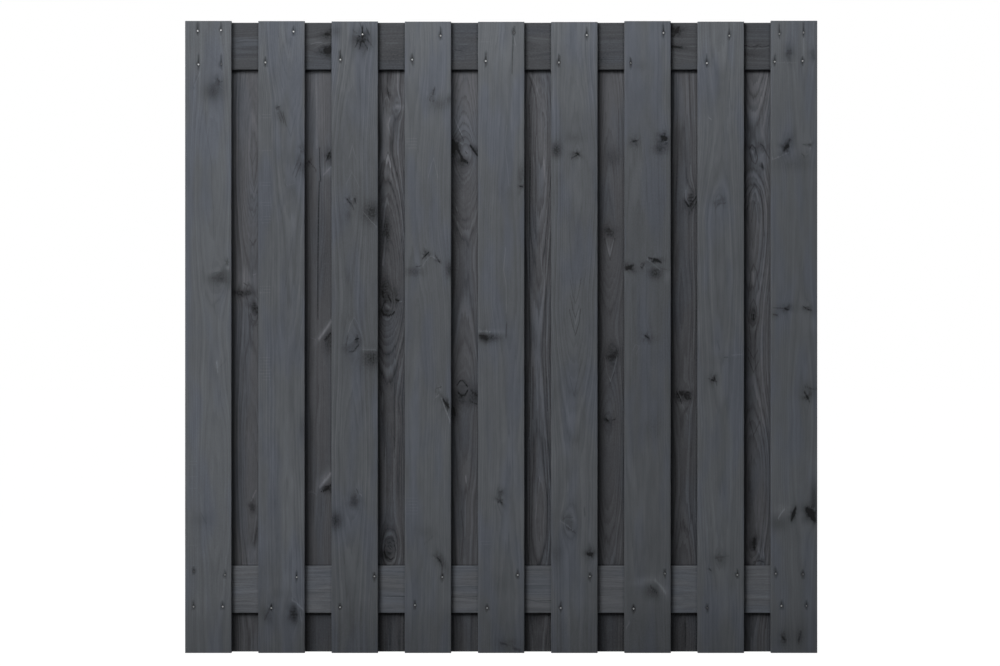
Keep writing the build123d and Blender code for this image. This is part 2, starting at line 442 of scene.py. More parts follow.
# %% Soft patches: across, up, half width, half height, lean in degrees, and tone, below 0 for darker
PATCHES = {
    "front_board_1": [
        (80, 1597, 22, 20, 0, -0.42), (92, 1625, 20, 16, 0, -0.14), (105, 1062, 24, 20, 0, -0.26),
        (122, 1097, 5, 5, 0, 0.3), (85, 1090, 12, 4, 0, 0.12), (92, 822, 5, 10, 0, 0.2),
        (50, 380, 22, 16, 0, -0.15),
    ],
    "front_board_2": [
        (66, 1525, 9, 20, -20, -0.2), (125, 1385, 13, 26, -20, -0.25), (125, 645, 6, 28, 0, -0.2),
        (103, 112, 13, 20, 5, -0.45), (25, 105, 12, 22, -30, -0.2), (118, 135, 7, 20, 20, 0.2),
        (35, 175, 5, 12, 0, 0.12), (60, 170, 30, 10, 0, -0.08),
    ],
    "front_board_3": [
        (88, 1742, 24, 26, 0, -0.42), (14, 1770, 14, 14, 0, -0.25), (116, 1255, 20, 24, 0, -0.4),
        (50, 1250, 8, 14, 0, -0.15), (115, 840, 24, 24, 0, -0.38), (110, 866, 22, 4, 0, 0.18),
        (12, 377, 15, 20, 0, -0.45), (65, 432, 18, 18, 0, -0.25), (74, 470, 4, 18, 0, 0.14),
    ],
    "front_board_4": [
        (100, 1562, 22, 16, 0, -0.2), (127, 1578, 6, 10, 0, -0.25), (64, 1138, 12, 5, 40, -0.25),
        (25, 1086, 20, 9, 0, -0.28), (127, 1092, 8, 18, 0, -0.4), (112, 718, 7, 20, -30, -0.3),
        (102, 738, 6, 20, -30, 0.15), (105, 262, 9, 26, -25, -0.3), (60, 345, 26, 14, 20, -0.1),
    ],
    "front_board_5": [
        (124, 1365, 10, 24, 0, -0.2), (16, 898, 20, 10, 0, -0.34), (45, 897, 20, 10, 0, -0.26),
        (40, 914, 36, 3, 0, 0.15), (65, 455, 10, 12, 0, -0.2), (85, 25, 32, 14, 0, -0.15),
        (60, 200, 24, 26, 0, -0.1),
    ],
    "front_board_6": [
        (15, 1432, 12, 18, 0, -0.45), (65, 1468, 34, 12, 0, -0.12), (66, 1415, 14, 8, 0, -0.14),
        (52, 368, 26, 24, 0, -0.12), (112, 284, 13, 13, 0, -0.3), (125, 268, 6, 10, 0, 0.15),
        (15, 285, 12, 26, 0, -0.16),
    ],
    "front_board_7": [
        (45, 1672, 18, 12, 0, -0.1), (28, 1452, 14, 12, 0, -0.16), (110, 1462, 18, 14, 0, -0.26),
        (102, 1434, 16, 10, 0, -0.34), (14, 1098, 16, 8, 30, -0.3), (90, 1116, 18, 5, -12, -0.3),
        (88, 1082, 15, 12, 0, -0.42), (122, 1072, 8, 12, 0, 0.15), (75, 895, 20, 10, 0, -0.1),
        (85, 640, 30, 30, 0, -0.1), (60, 206, 32, 8, -10, 0.2), (108, 182, 12, 18, -40, 0.3),
        (84, 176, 20, 16, 0, -0.35),
    ],
    "front_board_8": [
        (62, 1284, 18, 12, 0, -0.1), (45, 780, 11, 10, 0, -0.22), (70, 835, 30, 12, 0, -0.08),
        (66, 266, 28, 18, 0, -0.14),
    ],
    "front_board_9": [
        (52, 1708, 12, 22, 0, -0.3), (120, 1702, 12, 14, 0, -0.2), (48, 1448, 10, 28, 30, -0.3),
        (60, 1392, 44, 16, 0, -0.14), (44, 982, 20, 8, 0, -0.22), (105, 979, 14, 9, 0, -0.16),
        (11, 962, 9, 7, 0, -0.2), (120, 935, 14, 16, 0, 0.12), (104, 745, 18, 20, 0, -0.2),
        (30, 408, 26, 10, 0, 0.14), (64, 396, 8, 18, 20, -0.4), (113, 398, 16, 20, -25, -0.45),
        (20, 368, 20, 18, 0, -0.26), (122, 445, 9, 34, 0, -0.4), (37, 42, 13, 20, 0, -0.24),
        (82, 46, 12, 24, 0, -0.24),
    ],
    "back_board_1": [
        (66, 1068, 22, 20, 0, 0.16), (60, 1026, 26, 10, 0, -0.3), (96, 1010, 5, 12, 0, 0.25),
        (91, 985, 10, 24, 0, -0.3), (84, 412, 9, 14, 0, -0.3), (92, 335, 7, 40, 10, -0.2),
        (86, 275, 14, 20, 0, 0.26),
    ],
    "back_board_2": [
        (61, 1570, 7, 110, 0, 0.16), (92, 1375, 12, 14, -30, 0.24), (96, 1415, 8, 22, -20, -0.26),
        (84, 1130, 16, 120, 0, -0.14), (84, 920, 5, 36, 38, 0.3), (93, 885, 12, 28, 0, -0.3),
        (80, 492, 9, 28, 38, 0.35), (90, 466, 14, 8, 30, -0.4),
    ],
    "back_board_3": [
        (57, 1595, 6, 16, -30, -0.3), (84, 1558, 11, 7, 0, 0.45), (72, 1540, 14, 8, 0, -0.25),
        (52, 1375, 6, 40, 0, 0.14), (52, 1205, 12, 34, 0, -0.3), (40, 1180, 12, 110, 0, -0.12),
        (48, 1030, 12, 30, 0, -0.35), (75, 1025, 10, 20, 0, -0.2), (52, 968, 20, 8, 0, -0.25),
        (60, 322, 20, 10, 0, -0.2), (48, 275, 12, 14, 0, -0.3),
    ],
    "back_board_4": [
        (36, 1435, 14, 34, 0, -0.42), (60, 1402, 12, 10, 0, -0.45), (92, 1438, 9, 20, -40, -0.4),
        (72, 1432, 12, 18, 0, 0.25), (48, 1345, 12, 50, 10, -0.18), (48, 1220, 16, 60, 0, -0.14),
        (40, 1080, 14, 90, 0, -0.16), (58, 770, 14, 12, 0, -0.16), (60, 722, 26, 16, 0, -0.3),
        (94, 735, 10, 24, 0, -0.25), (35, 680, 10, 20, 0, -0.35),
    ],
    "back_board_5": [
        (47, 1400, 7, 240, 0, -0.15), (84, 1250, 7, 280, 0, 0.1), (70, 760, 10, 170, 0, 0.08),
        (70, 420, 10, 80, 0, 0.12),
    ],
    "back_board_6": [
        (60, 1590, 12, 60, 0, 0.06), (73, 1412, 16, 26, 0, -0.16), (62, 1200, 18, 18, 0, -0.2),
        (63, 1150, 8, 22, 0, 0.16), (72, 850, 15, 26, 0, -0.26), (62, 690, 6, 24, 0, 0.12),
        (60, 660, 18, 18, 0, -0.14),
    ],
    "back_board_7": [
        (58, 1590, 7, 60, 0, 0.14), (48, 1450, 8, 120, 0, -0.08), (76, 1312, 8, 18, 0, 0.2),
        (84, 1285, 14, 24, 0, -0.26), (62, 762, 22, 16, 0, 0.08), (54, 733, 11, 12, 0, -0.24),
        (78, 732, 13, 13, 0, -0.26), (62, 690, 8, 24, 0, 0.08),
    ],
    "back_board_8": [
        (70, 1600, 14, 40, 0, 0.06), (66, 1442, 32, 14, 0, -0.16), (55, 1422, 12, 12, 0, 0.08),
        (58, 958, 12, 26, 0, -0.2), (44, 840, 14, 120, 0, -0.12), (45, 450, 10, 70, 0, -0.2),
        (59, 312, 11, 22, 0, -0.35), (73, 290, 6, 20, -30, 0.16),
    ],
    "top_rail": [
        (84, 170, 8, 40, 0, 0.12), (78, 372, 6, 22, 0, 0.14), (100, 402, 10, 18, 0, -0.2),
        (55, 400, 12, 16, 0, -0.34), (30, 600, 24, 60, 0, -0.08), (85, 1015, 12, 30, 0, 0.08),
        (30, 1185, 20, 16, 0, -0.12), (112, 1398, 13, 18, 0, -0.26), (64, 1394, 8, 26, 0, -0.24),
        (45, 1605, 10, 24, 0, -0.14),
    ],
    "bottom_rail": [(18, 150, 24, 50, 0, -0.08), (30, 1430, 22, 36, 0, -0.12), (50, 1440, 10, 36, 0, 0.1)],
}
print(sum(map(len, PATCHES.values())), "patches")

# %% [markdown]
# ## Strokes
#
# Some marks are narrower than a patch can be: dark wings beside a knot, the pale lips of a scar, a ring
# that caught more stain. They are drawn as strokes through a few points each, as with a soft pencil.

# %% Strokes: half width, tone, and the points that each runs through, as across and up
STROKES = {
    "front_board_1": [
        (3, 0.25, (41, 1650), (27, 1615)), (4, -0.3, (33, 1640), (25, 1610)),
        (3, -0.4, (92, 1635), (97, 1626), (105, 1627)), (2, 0.2, (100, 1612), (110, 1605)),
        (1.8, -0.2, (58, 1575), (60, 1490), (76, 1390), (76, 1320), (82, 1250), (80, 1180)),
        (1.8, -0.25, (76, 1080), (93, 1085), (110, 1078)), (1.8, -0.2, (82, 1060), (80, 1010), (86, 970)),
        (3, 0.35, (90, 826), (93, 800)), (3, -0.2, (100, 815), (116, 833)), (2, -0.3, (46, 396), (60, 370)),
    ],
    "front_board_2": [
        (1.8, -0.2, (78, 1755), (86, 1705), (94, 1750)), (1.8, -0.2, (82, 1500), (93, 1470), (104, 1520)),
        (3, -0.3, (50, 1550), (60, 1556)), (2, -0.35, (56, 1537), (64, 1517)),
        (2, -0.35, (65, 1537), (72, 1515)), (2, -0.35, (72, 1532), (80, 1500)),
        (3, -0.3, (110, 1395), (98, 1362)), (2.5, -0.3, (120, 1392), (106, 1355)),
        (1.8, 0.15, (75, 1345), (82, 1330), (103, 1337)), (1.8, -0.15, (98, 1180), (86, 1105), (74, 1030)),
        (4, 0.4, (98, 150), (108, 143), (130, 122)), (3, 0.3, (119, 117), (123, 92)),
        (4, -0.3, (32, 125), (18, 95)),
    ],
    "front_board_3": [
        (3, -0.45, (81, 1793), (88, 1775)), (3, -0.4, (62, 1773), (79, 1757)),
        (3, -0.45, (90, 1742), (102, 1722)), (2.5, -0.4, (76, 1742), (67, 1725)),
        (2.5, -0.4, (84, 1740), (80, 1722)), (2.5, -0.3, (103, 1745), (117, 1727)),
        (3, -0.4, (100, 1777), (107, 1762)), (2, 0.4, (72, 1762), (84, 1758)),
        (2, 0.2, (50, 1410), (59, 1445), (69, 1410)), (2, 0.15, (42, 1335), (58, 1370), (78, 1330)),
        (3, -0.45, (44, 1293), (53, 1281)), (3, -0.45, (66, 1294), (70, 1280)),
        (2.5, -0.4, (56, 1280), (63, 1266)), (1.8, 0.45, (91, 1255), (110, 1232), (130, 1212)),
        (2, 0.2, (48, 915), (54, 938), (65, 956), (76, 936), (83, 912)), (3, -0.35, (46, 900), (42, 878)),
        (3, -0.8, (68, 893), (76, 895)), (3, -0.5, (50, 857), (62, 858), (77, 877)),
        (2, 0.3, (90, 863), (131, 863)), (3, -0.55, (72, 466), (76, 455)), (3, 0.3, (77, 455), (85, 450)),
    ],
    "front_board_4": [
        (3, -0.5, (84, 1605), (80, 1590)), (2, -0.35, (76, 1585), (70, 1578), (74, 1570), (84, 1572)),
        (2, 0.2, (67, 1355), (76, 1392), (82, 1410), (94, 1355)), (3, -0.6, (51, 1123), (68, 1141)),
        (2, 0.35, (52, 1104), (62, 1120), (74, 1131), (86, 1124)), (3, -0.5, (87, 1132), (100, 1111)),
        (3, -0.4, (32, 1100), (43, 1101)), (2.5, -0.5, (91, 754), (104, 757)),
        (2, 0.4, (88, 727), (96, 735)), (3, -0.7, (110, 720), (119, 708), (129, 697)),
        (2.5, 0.5, (104, 725), (115, 695), (128, 663)), (3, -0.2, (76, 328), (56, 310)),
        (3, -0.4, (92, 272), (102, 261), (107, 245), (105, 224)),
    ],
    "front_board_5": [
        (2, -0.6, (99, 1755), (98, 1715), (97, 1650)), (2, 0.25, (103, 1753), (106, 1735)),
        (3, -0.6, (119, 1329), (130, 1327)), (1.8, 0.2, (82, 1500), (76, 1450), (84, 1380), (88, 1330)),
        (1.8, 0.25, (78, 1150), (73, 1090), (80, 1050), (81, 975)), (2.5, -0.45, (81, 936), (80, 905)),
        (2.5, 0.4, (3, 915), (18, 917), (32, 915)), (5, -0.3, (4, 904), (15, 903), (26, 893)),
        (4, -0.3, (60, 458), (68, 460)), (5, -0.5, (57, 430), (63, 434), (67, 426)),
        (5, -0.35, (63, 28), (80, 25)), (6, -0.4, (103, 12), (120, 8)),
    ],
    "front_board_6": [
        (3.5, -0.8, (73, 1423), (77, 1420)), (2.5, -0.5, (58, 1409), (73, 1417)),
        (2, -0.25, (55, 1060), (62, 1015), (69, 995), (76, 1015), (84, 1060)),
        (2, -0.3, (55, 1015), (62, 975), (69, 955), (78, 985)),
        (2, -0.4, (52, 975), (60, 935), (69, 905), (79, 940), (83, 975)),
        (2, 0.2, (60, 973), (69, 935), (78, 973)), (2, -0.2, (52, 788), (65, 732), (85, 825)),
        (2, 0.4, (28, 374), (44, 365), (60, 350)), (2, -0.4, (44, 358), (68, 342)),
        (2, -0.3, (34, 382), (43, 387), (62, 386)), (4, -0.3, (94, 410), (96, 392)),
        (5, -0.5, (105, 281), (117, 281)),
    ],
    "front_board_7": [
        (3.5, -0.4, (18, 1455), (39, 1460)), (5, -0.5, (107, 1470), (118, 1464)),
        (2.6, 0.45, (114, 1455), (121, 1456)), (4, -0.7, (3, 1091), (13, 1097), (24, 1104)),
        (2, -0.5, (46, 1106), (50, 1111), (55, 1105), (50, 1096), (46, 1100)),
        (4, -0.7, (70, 1125), (88, 1120), (104, 1112)), (2.5, 0.3, (66, 1119), (82, 1107), (100, 1092)),
        (2.5, -0.3, (108, 1094), (128, 1090)), (3, -0.45, (59, 903), (70, 896)),
        (2, 0.15, (24, 863), (31, 879), (43, 873), (33, 851)), (5, 0.35, (88, 206), (104, 190), (116, 172)),
        (4, -0.35, (76, 187), (92, 172)), (3, 0.3, (6, 74), (12, 83)),
    ],
    "front_board_8": [
        (2, -0.2, (90, 1620), (94, 1560)), (2.5, 0.4, (32, 1524), (39, 1519)),
        (2, -0.2, (72, 1500), (76, 1455)), (2, -0.4, (52, 1268), (58, 1278), (78, 1281)),
        (2.5, -0.25, (57, 885), (62, 866)), (3, -0.35, (76, 842), (85, 842)),
        (3, 0.2, (100, 848), (130, 851)), (3, -0.5, (32, 781), (42, 776), (54, 773)),
        (2.5, -0.45, (46, 788), (54, 764)), (2.5, -0.25, (52, 270), (86, 276)),
        (2.5, -0.5, (33, 240), (37, 235)),
    ],
    "front_board_9": [
        (1.8, 0.2, (11, 1680), (70, 1681)), (2, 0.2, (93, 1750), (93, 1715)),
        (6, -0.4, (37, 1431), (47, 1444), (54, 1462)), (2.5, 0.4, (4, 1405), (27, 1414), (50, 1425)),
        (3, -0.4, (91, 1448), (97, 1447)), (4, -0.4, (107, 1448), (114, 1446)),
        (2, 0.2, (113, 1438), (110, 1425), (101, 1419)), (2.5, -0.5, (88, 1421), (93, 1417)),
        (2.5, -0.4, (6, 983), (42, 981)), (4, -0.5, (42, 979), (49, 977)), (3, -0.4, (8, 964), (16, 962)),
        (3, -0.5, (93, 986), (99, 982)), (3, -0.45, (105, 978), (115, 976)),
        (3, -0.4, (98, 758), (128, 749)), (4, -0.65, (96, 742), (103, 730), (109, 716)),
        (3, 0.5, (22, 386), (29, 398), (38, 409)), (5, -0.9, (59, 379), (64, 396), (70, 412)),
        (9, -0.85, (103, 411), (114, 397), (124, 378)), (2.5, 0.4, (113, 415), (122, 410), (129, 402)),
        (5, -0.35, (31, 49), (41, 34)), (5, -0.35, (85, 58), (79, 35)),
    ],
    "back_board_1": [
        (2, -0.25, (76, 1425), (85, 1392), (94, 1425)), (2, -0.25, (78, 1345), (88, 1312), (97, 1345)),
        (2, -0.25, (76, 1265), (86, 1237), (96, 1265)), (2.5, -0.35, (77, 1178), (86, 1163), (95, 1178)),
        (3, -0.55, (60, 1054), (68, 1048)), (2.5, 0.35, (88, 1078), (95, 1080)),
        (2, -0.4, (79, 966), (84, 948), (91, 944), (99, 955)), (2, -0.3, (76, 958), (84, 930), (98, 935)),
        (3, -0.2, (60, 1000), (62, 880), (67, 760), (69, 640)), (3, 0.4, (94, 460), (87, 445), (80, 430)),
        (2.5, 0.3, (95, 388), (91, 352), (86, 318)), (3, -0.35, (98, 353), (91, 312)),
        (2.5, 0.3, (58, 251), (98, 251)),
    ],
    "back_board_2": [
        (4, 0.25, (58, 1650), (60, 1545), (60, 1440)), (2.5, -0.65, (68, 1435), (68, 1400), (71, 1345)),
        (2.5, -0.55, (37, 1402), (47, 1391), (57, 1379)), (3, -0.5, (100, 1434), (86, 1402)),
        (3.5, 0.35, (100, 1386), (80, 1364)), (5, 0.5, (66, 894), (82, 916), (101, 945)),
        (6, -0.4, (85, 894), (102, 912)), (2, 0.3, (44, 897), (56, 893)),
        (6, 0.65, (68, 470), (84, 488), (99, 508)), (3, -0.75, (74, 458), (88, 463), (99, 475)),
        (2, 0.3, (36, 455), (46, 457), (58, 450)),
        (2.5, -0.6, (67, 1345), (64, 1200), (63, 1060), (63, 960)),
    ],
    "back_board_3": [
        (2.5, -0.45, (53, 1612), (60, 1572)), (3, 0.4, (43, 1562), (46, 1582), (53, 1586), (60, 1572)),
        (3, 0.3, (60, 1523), (55, 1506), (61, 1480)),
        (3.5, 0.35, (46, 1355), (50, 1393), (55, 1420), (61, 1393), (64, 1352)),
        (2.5, -0.35, (40, 1365), (46, 1402), (55, 1430), (64, 1402), (69, 1360)),
        (3, 0.35, (40, 1205), (46, 1265), (52, 1298), (60, 1262)),
        (4, 0.35, (40, 1105), (45, 1150), (47, 1180)), (6, 0.45, (51, 990), (60, 982)),
        (3, -0.95, (37, 974), (44, 963), (56, 960), (67, 964), (73, 971)),
        (2, -0.6, (39, 982), (42, 995), (48, 1002)), (3, -0.7, (40, 1030), (41, 1013)),
        (2.5, -0.8, (56, 1015), (64, 1001)), (3, -0.9, (78, 1006), (85, 1003)),
        (3, 0.4, (87, 1000), (94, 1001)), (2, -0.35, (74, 760), (73, 660), (74, 560)),
        (2.5, -0.8, (44, 285), (50, 270), (62, 263), (73, 268)),
        (2, -0.4, (45, 297), (50, 309), (61, 312), (74, 304), (78, 290)),
        (2, -0.3, (38, 308), (48, 320), (62, 323), (78, 313)), (2.5, -0.5, (58, 297), (63, 293)),
    ],
    "back_board_4": [
        (2.5, 0.4, (38, 1525), (48, 1499), (58, 1477)), (2.5, -0.4, (50, 1488), (62, 1463)),
        (5, -0.85, (42, 1446), (51, 1426), (60, 1407), (73, 1399)), (6, -0.75, (33, 1460), (38, 1444)),
        (4, -0.8, (81, 1448), (90, 1436), (101, 1420)), (2, 0.4, (41, 1463), (48, 1458), (60, 1452)),
        (2.5, -0.6, (68, 1430), (72, 1425)), (2, 0.35, (43, 1267), (49, 1248), (56, 1240)),
        (2, 0.35, (46, 1224), (50, 1205), (56, 1193)),
        (3, -0.6, (44, 762), (54, 775), (62, 773), (74, 758)),
        (3, -0.75, (47, 741), (57, 732), (67, 734), (75, 748)), (4, -0.35, (86, 746), (101, 733)),
        (3.5, -0.35, (82, 715), (101, 707)), (4, -0.65, (33, 697), (38, 678)),
        (2.5, 0.6, (69, 498), (70, 486)), (2, 0.25, (75, 470), (69, 430), (66, 330)),
        (3, -0.3, (56, 402), (63, 340), (55, 263)),
    ],
    "back_board_5": [
        (3, -0.4, (38, 1652), (50, 1625), (60, 1590), (64, 1540), (63, 1480)),
        (3, 0.25, (46, 1652), (60, 1620), (70, 1590)), (2.5, -0.5, (42, 1560), (45, 1400), (43, 1180)),
        (2.5, -0.35, (60, 1470), (59, 1315), (61, 1180)), (3, 0.3, (88, 1500), (84, 1400), (88, 1345)),
        (2, -0.4, (93, 1640), (96, 1400), (95, 1180)),
        (2.5, -0.45, (42, 1175), (43, 930), (46, 770), (41, 615)), (2, 0.3, (76, 1150), (78, 1085)),
        (2.5, -0.4, (90, 1175), (88, 890), (94, 690)), (3, -0.35, (52, 810), (53, 735), (52, 667)),
        (2.5, 0.25, (64, 790), (66, 700)), (2.5, -0.4, (42, 604), (42, 260)),
        (2.5, 0.25, (60, 380), (66, 445), (72, 500)), (2.5, -0.35, (95, 604), (93, 260)),
    ],
    "back_board_6": [
        (2.5, 0.25, (55, 1175), (64, 1130), (74, 1175)),
        (2.5, -0.3, (48, 1180), (58, 1140), (65, 1120), (78, 1180)),
        (2, 0.3, (50, 842), (57, 795), (66, 773), (77, 810), (84, 842)),
        (2.5, -0.25, (53, 820), (64, 765), (78, 798)), (3, -0.4, (52, 666), (59, 660)),
        (3, -0.35, (73, 662), (80, 665)), (2, -0.3, (89, 1544), (90, 1397)),
    ],
    "back_board_7": [
        (2.5, -0.3, (84, 1650), (86, 1400)), (2.5, -0.25, (46, 1640), (48, 1420), (44, 1200)),
        (3, -0.6, (68, 1290), (76, 1281), (82, 1272)), (3, -0.6, (86, 1276), (101, 1298)),
        (2.5, -0.45, (90, 1264), (103, 1284)), (2.5, 0.35, (73, 1320), (71, 1300), (80, 1281)),
        (2.5, -0.5, (47, 741), (55, 728), (61, 710)), (2.5, -0.5, (54, 746), (62, 733)),
        (2, 0.45, (50, 743), (59, 725)), (3, -0.45, (80, 742), (71, 738), (69, 730), (76, 721), (87, 723)),
        (2.5, 0.2, (62, 708), (70, 692), (78, 671)), (2.5, -0.25, (90, 1175), (92, 770)),
        (2, -0.25, (67, 377), (70, 345), (76, 325), (83, 345), (87, 385)),
    ],
    "back_board_8": [
        (2.5, -0.55, (47, 1438), (53, 1450), (62, 1440), (70, 1412), (64, 1394), (54, 1402), (48, 1425)),
        (2.5, -0.5, (73, 1455), (85, 1446), (95, 1425), (102, 1412)), (3, 0.3, (54, 1433), (61, 1407)),
        (4, -0.65, (82, 1395), (84, 1379)),
        (2.5, -0.5, (40, 1265), (47, 1312), (62, 1337), (77, 1320), (84, 1270), (88, 1190)),
        (3.5, 0.35, (49, 1271), (55, 1309), (66, 1320), (71, 1291)),
        (2, -0.35, (53, 1235), (60, 1283), (68, 1280), (73, 1235)),
        (2.5, -0.4, (46, 1042), (51, 1087), (58, 1107), (67, 1087), (73, 1040)),
        (5, 0.3, (57, 1085), (57, 1050)),
        (2, -0.35, (49, 895), (44, 948), (51, 993), (58, 1008), (67, 985), (69, 948), (62, 895)),
        (2.5, -0.65, (58, 963), (58, 950)), (2.5, -0.35, (43, 865), (58, 836), (70, 862)),
        (2.5, -0.4, (43, 840), (58, 798), (71, 828)), (2.5, -0.4, (47, 660), (58, 618), (73, 650)),
        (8, -0.4, (61, 322), (61, 292)), (2.5, 0.35, (73, 312), (71, 292), (79, 272)),
        (3, -0.6, (60, 257), (76, 260), (87, 256)),
    ],
    "top_rail": [
        (2, 0.2, (79, 142), (85, 165), (84, 200)), (4, -0.4, (102, 398), (100, 410)),
        (6, -0.5, (56, 396), (53, 411)), (2, 0.45, (73, 358), (77, 370), (78, 384)),
        (2, 0.2, (63, 370), (72, 384), (76, 400)), (2, 0.25, (76, 569), (76, 600)),
        (3, -0.25, (56, 770), (54, 783)), (2, 0.25, (72, 780), (73, 800)),
        (5, -0.4, (122, 1407), (112, 1400), (96, 1391)), (4, -0.4, (67, 1386), (62, 1412)),
        (2, 0.2, (67, 1418), (67, 1454)),
        (2, -0.4, (69, 1597), (64, 1612), (68, 1630), (64, 1643), (68, 1663)),
        (2, 0.25, (62, 1597), (59, 1618), (63, 1663)),
    ],
    "bottom_rail": [
        (1.8, -0.3, (79, 165), (78, 192)), (2, -0.4, (33, 143), (34, 170), (31, 200)),
        (2, 0.2, (27, 145), (26, 195)), (2, -0.25, (33, 350), (32, 410)), (2, 0.25, (56, 762), (57, 830)),
        (2.5, -0.45, (46, 762), (45, 790), (47, 830)), (2, 0.2, (56, 972), (56, 1040)),
        (2.5, -0.45, (38, 973), (34, 1000), (36, 1040)), (2, 0.2, (48, 1178), (48, 1242)),
        (2, -0.3, (111, 1597), (112, 1625)), (2, 0.2, (45, 1595), (46, 1660)),
    ],
}
print(sum(map(len, STROKES.values())), "strokes")

# %% [markdown]
# ## Ticks
#
# A planer knife with a nick leaves a short level tick at every turn. A few front boards have groups of
# them along the left edge, all alike, so a function draws them as strokes at even steps.

# %% Ticks of a nicked planer knife: the height of each group and how many ticks it has
TICKS = {
    "front_board_1": [(546, 2), (502, 1), (469, 1), (307, 1), (250, 1)],
    "front_board_2": [(1533, 2), (1431, 1), (1340, 2), (1283, 2), (1243, 3), (1044, 3), (841, 8)],
    "front_board_4": [(1465, 4), (441, 6)],
    "front_board_5": [(1740, 1), (318, 2)],
}
TICK_SPACING = 9
TICK_PLACES = 4, 20, 34
TICK_HALF_WIDTH = 1.5
TICK_TONE = 0.15


def planer_ticks(name):
    """Short level strokes beside a board's left edge."""
    strokes = []
    for up, count in TICKS.get(name, []):
        for height in range(up, up - count * TICK_SPACING, -TICK_SPACING):
            strokes.append((TICK_HALF_WIDTH, TICK_TONE, *((across, height) for across in TICK_PLACES)))
    return strokes


print({name: len(planer_ticks(name)) for name in TICKS}, "ticks")

# %% [markdown]
# ## Drying cracks
#
# As sawn wood dries it shrinks most along its rings, and a plank that can't give way cracks along the grain.
# Cracks are cut into the mesh, since a crack is a depth and not a colour. Their bottoms are also painted
# dark, partly for stain that pooled there and partly as painted shade.

# %% Drying cracks: the stops of each one, as across and up
CRACKS = {
    "front_board_4": [[(106, 742), (112, 722), (121, 700), (124, 672)]],
    "front_board_5": [[(101, 1790), (102, 1760), (100, 1720), (99, 1680)]],
    "back_board_2": [[(67, 1340), (65, 1250), (63, 1150), (63, 1050), (63, 960)]],
    "back_board_7": [[(72, 112), (73, 60), (72, 4)]],
    "bottom_rail": [[(47, 560), (46, 640), (47, 720)], [(40, 780), (38, 900), (41, 980)]],
}
print(sum(map(len, CRACKS.values())), "cracks")

# %% [markdown]
# ## Which part of the tree each plank came from
#
# Four numbers settle a plank's grain: where the heart lies beside it and behind its front face, and
# how both change with height. A heart close behind the face gives wide arches, and one far to the
# side gives fine straight lines. The stops follow what each board shows.

# %% Hearts: height above the foot, across from the left edge, and depth behind the front face
HEARTS = {
    "front_board_1": [(0, 76, 62), (500, 88, 48), (900, 74, 60), (1300, 78, 44), (1800, 70, 58)],
    "front_board_2": [(0, 80, 70), (700, 70, 74), (1100, 82, 66), (1500, 90, 52), (1800, 84, 30)],
    "front_board_3": [(0, 50, 60), (600, 56, 48), (1000, 50, 60), (1400, 48, 50), (1800, 72, 60)],
    "front_board_4": [(0, 30, 80), (800, 36, 74), (1300, 20, 84), (1800, 26, 78)],
    "front_board_5": [(0, 88, 76), (600, 96, 84), (1200, 90, 76), (1800, 104, 82)],
    "front_board_6": [(0, 70, 70), (560, 68, 66), (980, 68, 42), (1300, 74, 34), (1800, 66, 48)],
    "front_board_7": [(0, 40, 90), (900, 30, 84), (1800, 44, 92)],
    "front_board_8": [(0, 64, 74), (600, 62, 66), (1200, 60, 56), (1500, 64, 70), (1800, 58, 62)],
    "front_board_9": [(0, 84, 70), (700, 88, 60), (1200, 84, 70), (1800, 90, 58)],
    "back_board_1": [(0, 96, 60), (500, 88, 40), (1000, 84, 58), (1400, 90, 30), (1800, 86, 48)],
    "back_board_2": [(0, 50, 34), (900, 54, 28), (1350, 60, 22), (1800, 62, 26)],
    "back_board_3": [(0, 62, 70), (700, 58, 62), (1080, 50, 32), (1460, 52, 58), (1800, 60, 50)],
    "back_board_4": [(0, 64, 60), (700, 60, 48), (1150, 66, 62), (1400, 58, 30), (1800, 70, 48)],
    "back_board_5": [(0, 62, 66), (400, 66, 50), (900, 58, 60), (1500, 72, 40), (1800, 64, 62)],
    "back_board_6": [(0, 60, 70), (640, 58, 40), (900, 64, 58), (1240, 62, 30), (1800, 60, 52)],
    "back_board_7": [(0, 66, 40), (500, 68, 58), (1000, 62, 48), (1800, 66, 60)],
    "back_board_8": [
        (0, 54, 66), (500, 58, 40), (820, 56, 62), (1250, 56, 44), (1420, 62, 64), (1800, 66, 40),
    ],
    "top_rail": [(0, 60, 60), (700, 66, 46), (1200, 70, 58), (1800, 60, 48)],
    "bottom_rail": [(0, 30, 90), (900, 36, 84), (1800, 28, 92)],
}
RING_WIDTHS = {"front": 4.2, "back": 3.9, "top": 3.8, "bottom": 3.2}

# %% [markdown]
# ## How light and how lively each plank is
#
# No two trees take a stain alike, so each plank has a tone of its own, and a figure that is strong or faint.
# On top of that, light and shade are painted into each layer of planks as a slow change of tone along them.
# The panel is painted lighter near its top and darker at its foot than the lamps alone make it, the back
# boards darkest below the bottom rail where its shade falls, and the rails lighter towards their ends. Tone
# and figure could be left to chance, but the eye knows a panel by its light and dark boards.

# %% Tones, and how strongly the grain shows, by layer and number
TONES = {
    "front": (0.19, 0.03, -0.08, -0.04, -0.03, -0.07, -0.12, 0.04, 0.07),
    "back": (0.10, -0.04, -0.12, -0.02, -0.05, -0.14, -0.13, 0.13),
    "top": (-0.36,),
    "bottom": (0.25,),
}
FIGURES = {
    "front": (0.8, 1.2, 1.2, 1.0, 1.0, 1.2, 1.0, 1.0, 0.8),
    "back": (0.6, 0.5, 0.9, 0.6, 0.85, 0.5, 0.6, 0.7),
    "top": (0.8,),
    "bottom": (1.0,),
}
